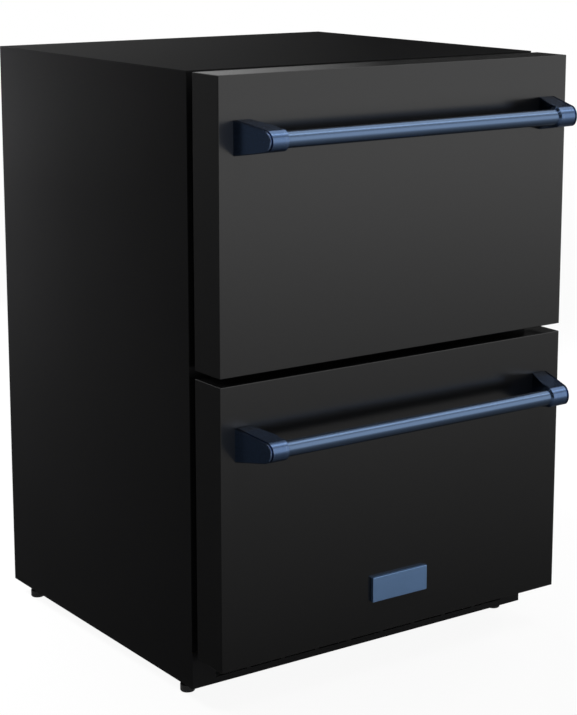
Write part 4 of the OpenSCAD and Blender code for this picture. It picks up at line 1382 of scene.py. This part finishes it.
@dataclass
class Studio:
    """Camera, floor, backdrop light, flags and lamps."""

    focal_pixels: float = 1888.7
    frame_height: float = 715.0
    sensor: float = 36.0
    shift_y: float = -0.12
    yaw: float = -34.92
    pitch: float = 10.95
    eye: Point = (-1.5977, -2.2905, 1.0836)
    floor_shade: float = 0.3
    floor_pale: float = 0.85
    floor_white: Span = (0.93, 1.0)
    floor_fade: Span = (1.0, 6.0)
    floor_half: float = 40.0
    ambient: float = 0.2
    lamps: tuple[SoftBox, ...] = (
        SoftBox("front_soft", (0.5, -2.0, 0.2), (0.1, -0.3, 0.6), (1.2, 0.3), 13.0),
        SoftBox("left_rear", (-0.62, 0.78, 0.78), (-0.3, 0.2, 0.66), (0.4, 0.3), 18.0),
        SoftBox("overhead", (0.3, -1.1, 2.6), (0.0, -0.5, 0.6), (1.6, 1.2), 22.0),
        SoftBox("right_soft", (1.9, 0.5, 0.8), (0.3, 0.1, 0.5), (0.8, 0.6), 22.0),
        SoftBox("rear_soft", (0.3, 2.4, 0.8), (0.0, 0.34, 0.5), (0.8, 0.6), 34.0),
    )
    flags: tuple[Flag, ...] = (
        Flag("flag_front", (-0.32, 0.4, 0.01), (6.0, -4.6, 0.01), Axis.Y, (-0.3, -4.6), (0.06, 1.0)),
        Flag("flag_left", (-3.5, -0.4, 0.01), (-0.32, 4.0, 0.01), Axis.X, (-0.3, -3.5), (0.02, 0.08)),
        Flag("flag_left_near", (-3.5, -8.0, 0.01), (-0.32, -0.4, 0.01),
             Axis.Y, (-0.3, -4.6), (0.1, 1.0)),
        Flag("flag_left_wall", (-3.5, -8.0, 0.01), (-3.5, 4.0, 7.0),
             Axis.Z, (0.0, 2.4), (0.09, 0.03), Axis.Y),
        Flag("flag_left_front", (-3.5, -8.0, 0.01), (-0.7, -8.0, 7.0),
             Axis.Z, (0.0, 2.4), (0.06, 0.03)),
        Flag("flag_left_top", (-3.5, -8.0, 7.0), (-0.7, 4.0, 7.0), Axis.X, (-3.5, -0.7), (0.03, 0.03)),
        Flag("flag_left_rear", (-3.5, 4.0, 0.01), (-0.3, 4.0, 2.4), Axis.Z, (0.0, 2.4), (0.08, 0.2)),
        Flag("flag_right", (0.32, -0.25, 0.02), (4.0, 4.0, 0.02), Axis.X, (0.32, 4.0), (0.05, 0.3)),
        Flag("flag_rear_high", (-0.6, 2.6, 1.4), (6.0, 2.6, 5.0), Axis.Z, (1.4, 1.9), (0.2, 0.02)),
        Flag("flag_rear_low", (-0.6, 2.6, 0.01), (6.0, 2.6, 1.4), Axis.X, (0.5, 2.2), (1.3, 0.0)),
        Flag("flag_front_high", (-3.0, -2.0, 1.9), (5.0, -2.0, 3.1), Axis.Z, (1.9, 3.1), (0.5, 0.4)),
        Flag("strip_overhead", (-2.0, -1.05, 2.5), (3.5, -0.8, 2.6), Axis.X, (-2.0, 3.5), (2.6, 2.6)),
    )

    def build(self) -> None:
        """Builds the whole studio."""
        self.camera()
        self.world()
        self.floor()
        for item in (*self.lamps, *self.flags):
            item.build()
        bpy.context.scene.view_settings.view_transform = "Standard"

    def camera(self) -> None:
        """Makes the camera at the photograph's viewing angle."""
        data = bpy.data.cameras.new("camera")
        data.sensor_fit = "AUTO"
        data.sensor_width = self.sensor
        data.lens = self.focal_pixels * data.sensor_width / self.frame_height
        data.shift_y = self.shift_y
        data.dof.use_dof = False
        camera = add_object("camera", data)
        camera.location = self.eye
        camera.rotation_euler = (math.radians(90 - self.pitch), 0.0, math.radians(self.yaw))
        bpy.context.scene.camera = camera

    def background_rays(self, tree: Tree) -> Socket:
        """Tells the rays that show the background from those that only light.

        Args:
            tree: where the nodes go.

        Returns:
            A value of 1 for rays from the camera, off gloss or through glass, else 0.
        """
        rays = tree.nodes.new("ShaderNodeLightPath")
        both = math_node(tree, "MAXIMUM", rays.outputs["Is Camera Ray"], rays.outputs["Is Glossy Ray"])
        return math_node(tree, "MAXIMUM", both, rays.outputs["Is Transmission Ray"])

    def world(self) -> None:
        """Makes the world white where it shows and soft grey where it lights."""
        world = bpy.data.worlds.new("studio")
        world.use_nodes = True
        tree = world.node_tree
        tree.nodes.clear()
        mix = tree.nodes.new("ShaderNodeMixShader")
        join(tree, self.background_rays(tree), mix.inputs[0])
        for strength, target in zip((self.ambient, 1.0), mix.inputs[1:]):
            white = tree.nodes.new("ShaderNodeBackground")
            white.inputs["Color"].default_value = (1, 1, 1, 1)
            white.inputs["Strength"].default_value = strength
            join(tree, white.outputs[0], target)
        join(tree, mix.outputs[0], tree.nodes.new("ShaderNodeOutputWorld").inputs[0])
        world.cycles.sampling_method = "NONE"
        bpy.context.scene.world = world

    def floor(self) -> None:
        """Makes a pale floor that keeps a part of the object's shadow.

        Where it is seen, it fades to white with the distance from the middle.
        """
        half = self.floor_half
        corners = [(-half, -half, 0), (half, -half, 0), (half, half, 0), (-half, half, 0)]
        mesh = bpy.data.meshes.new("floor")
        mesh.from_pydata(corners, [], [(0, 1, 2, 3)])
        floor = add_object("floor", mesh)
        made, tree = plain_emitter("floor_white")
        rays = tree.nodes.new("ShaderNodeLightPath").outputs["Is Camera Ray"]
        pale = self.floor_pale - self.floor_shade
        shade = math_node(tree, "MULTIPLY_ADD", rays, pale, self.floor_shade)
        diffuse = tree.nodes.new("ShaderNodeBsdfDiffuse")
        join(tree, shade, diffuse.inputs["Color"])
        white = tree.nodes.new("ShaderNodeEmission")
        white.inputs["Strength"].default_value = 1.0
        length = tree.nodes.new("ShaderNodeVectorMath")
        length.operation = "LENGTH"
        join(tree, tree.nodes.new("ShaderNodeTexCoord").outputs["Object"], length.inputs[0])
        fade = map_range(tree, length.outputs["Value"], self.floor_fade, self.floor_white)
        mix = tree.nodes.new("ShaderNodeMixShader")
        join(tree, math_node(tree, "MULTIPLY", self.background_rays(tree), fade), mix.inputs[0])
        join(tree, diffuse.outputs[0], mix.inputs[1])
        join(tree, white.outputs[0], mix.inputs[2])
        join(tree, mix.outputs[0], tree.nodes.new("ShaderNodeOutputMaterial").inputs[0])
        mesh.materials.append(made)


def dress_nodes() -> None:
    """Gives every node that stays in view its finish."""
    for node, finish in NODE_FINISHES.items():
        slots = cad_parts[node].data.materials
        slots.clear()
        slots.append(finish.material())


def main() -> None:
    """Builds the studio and every sub-assembly in order."""
    logging.basicConfig(level=logging.INFO, format="%(name)s: %(message)s")
    Studio().build()
    dress_nodes()
    Cabinet().build()
    for level in ("upper", "lower"):
        Drawer(level).build()
    BadgePlate().build()
    Feet().build()
    Controls().build()
    CordGland().build()


if __name__ == "__main__":
    main()
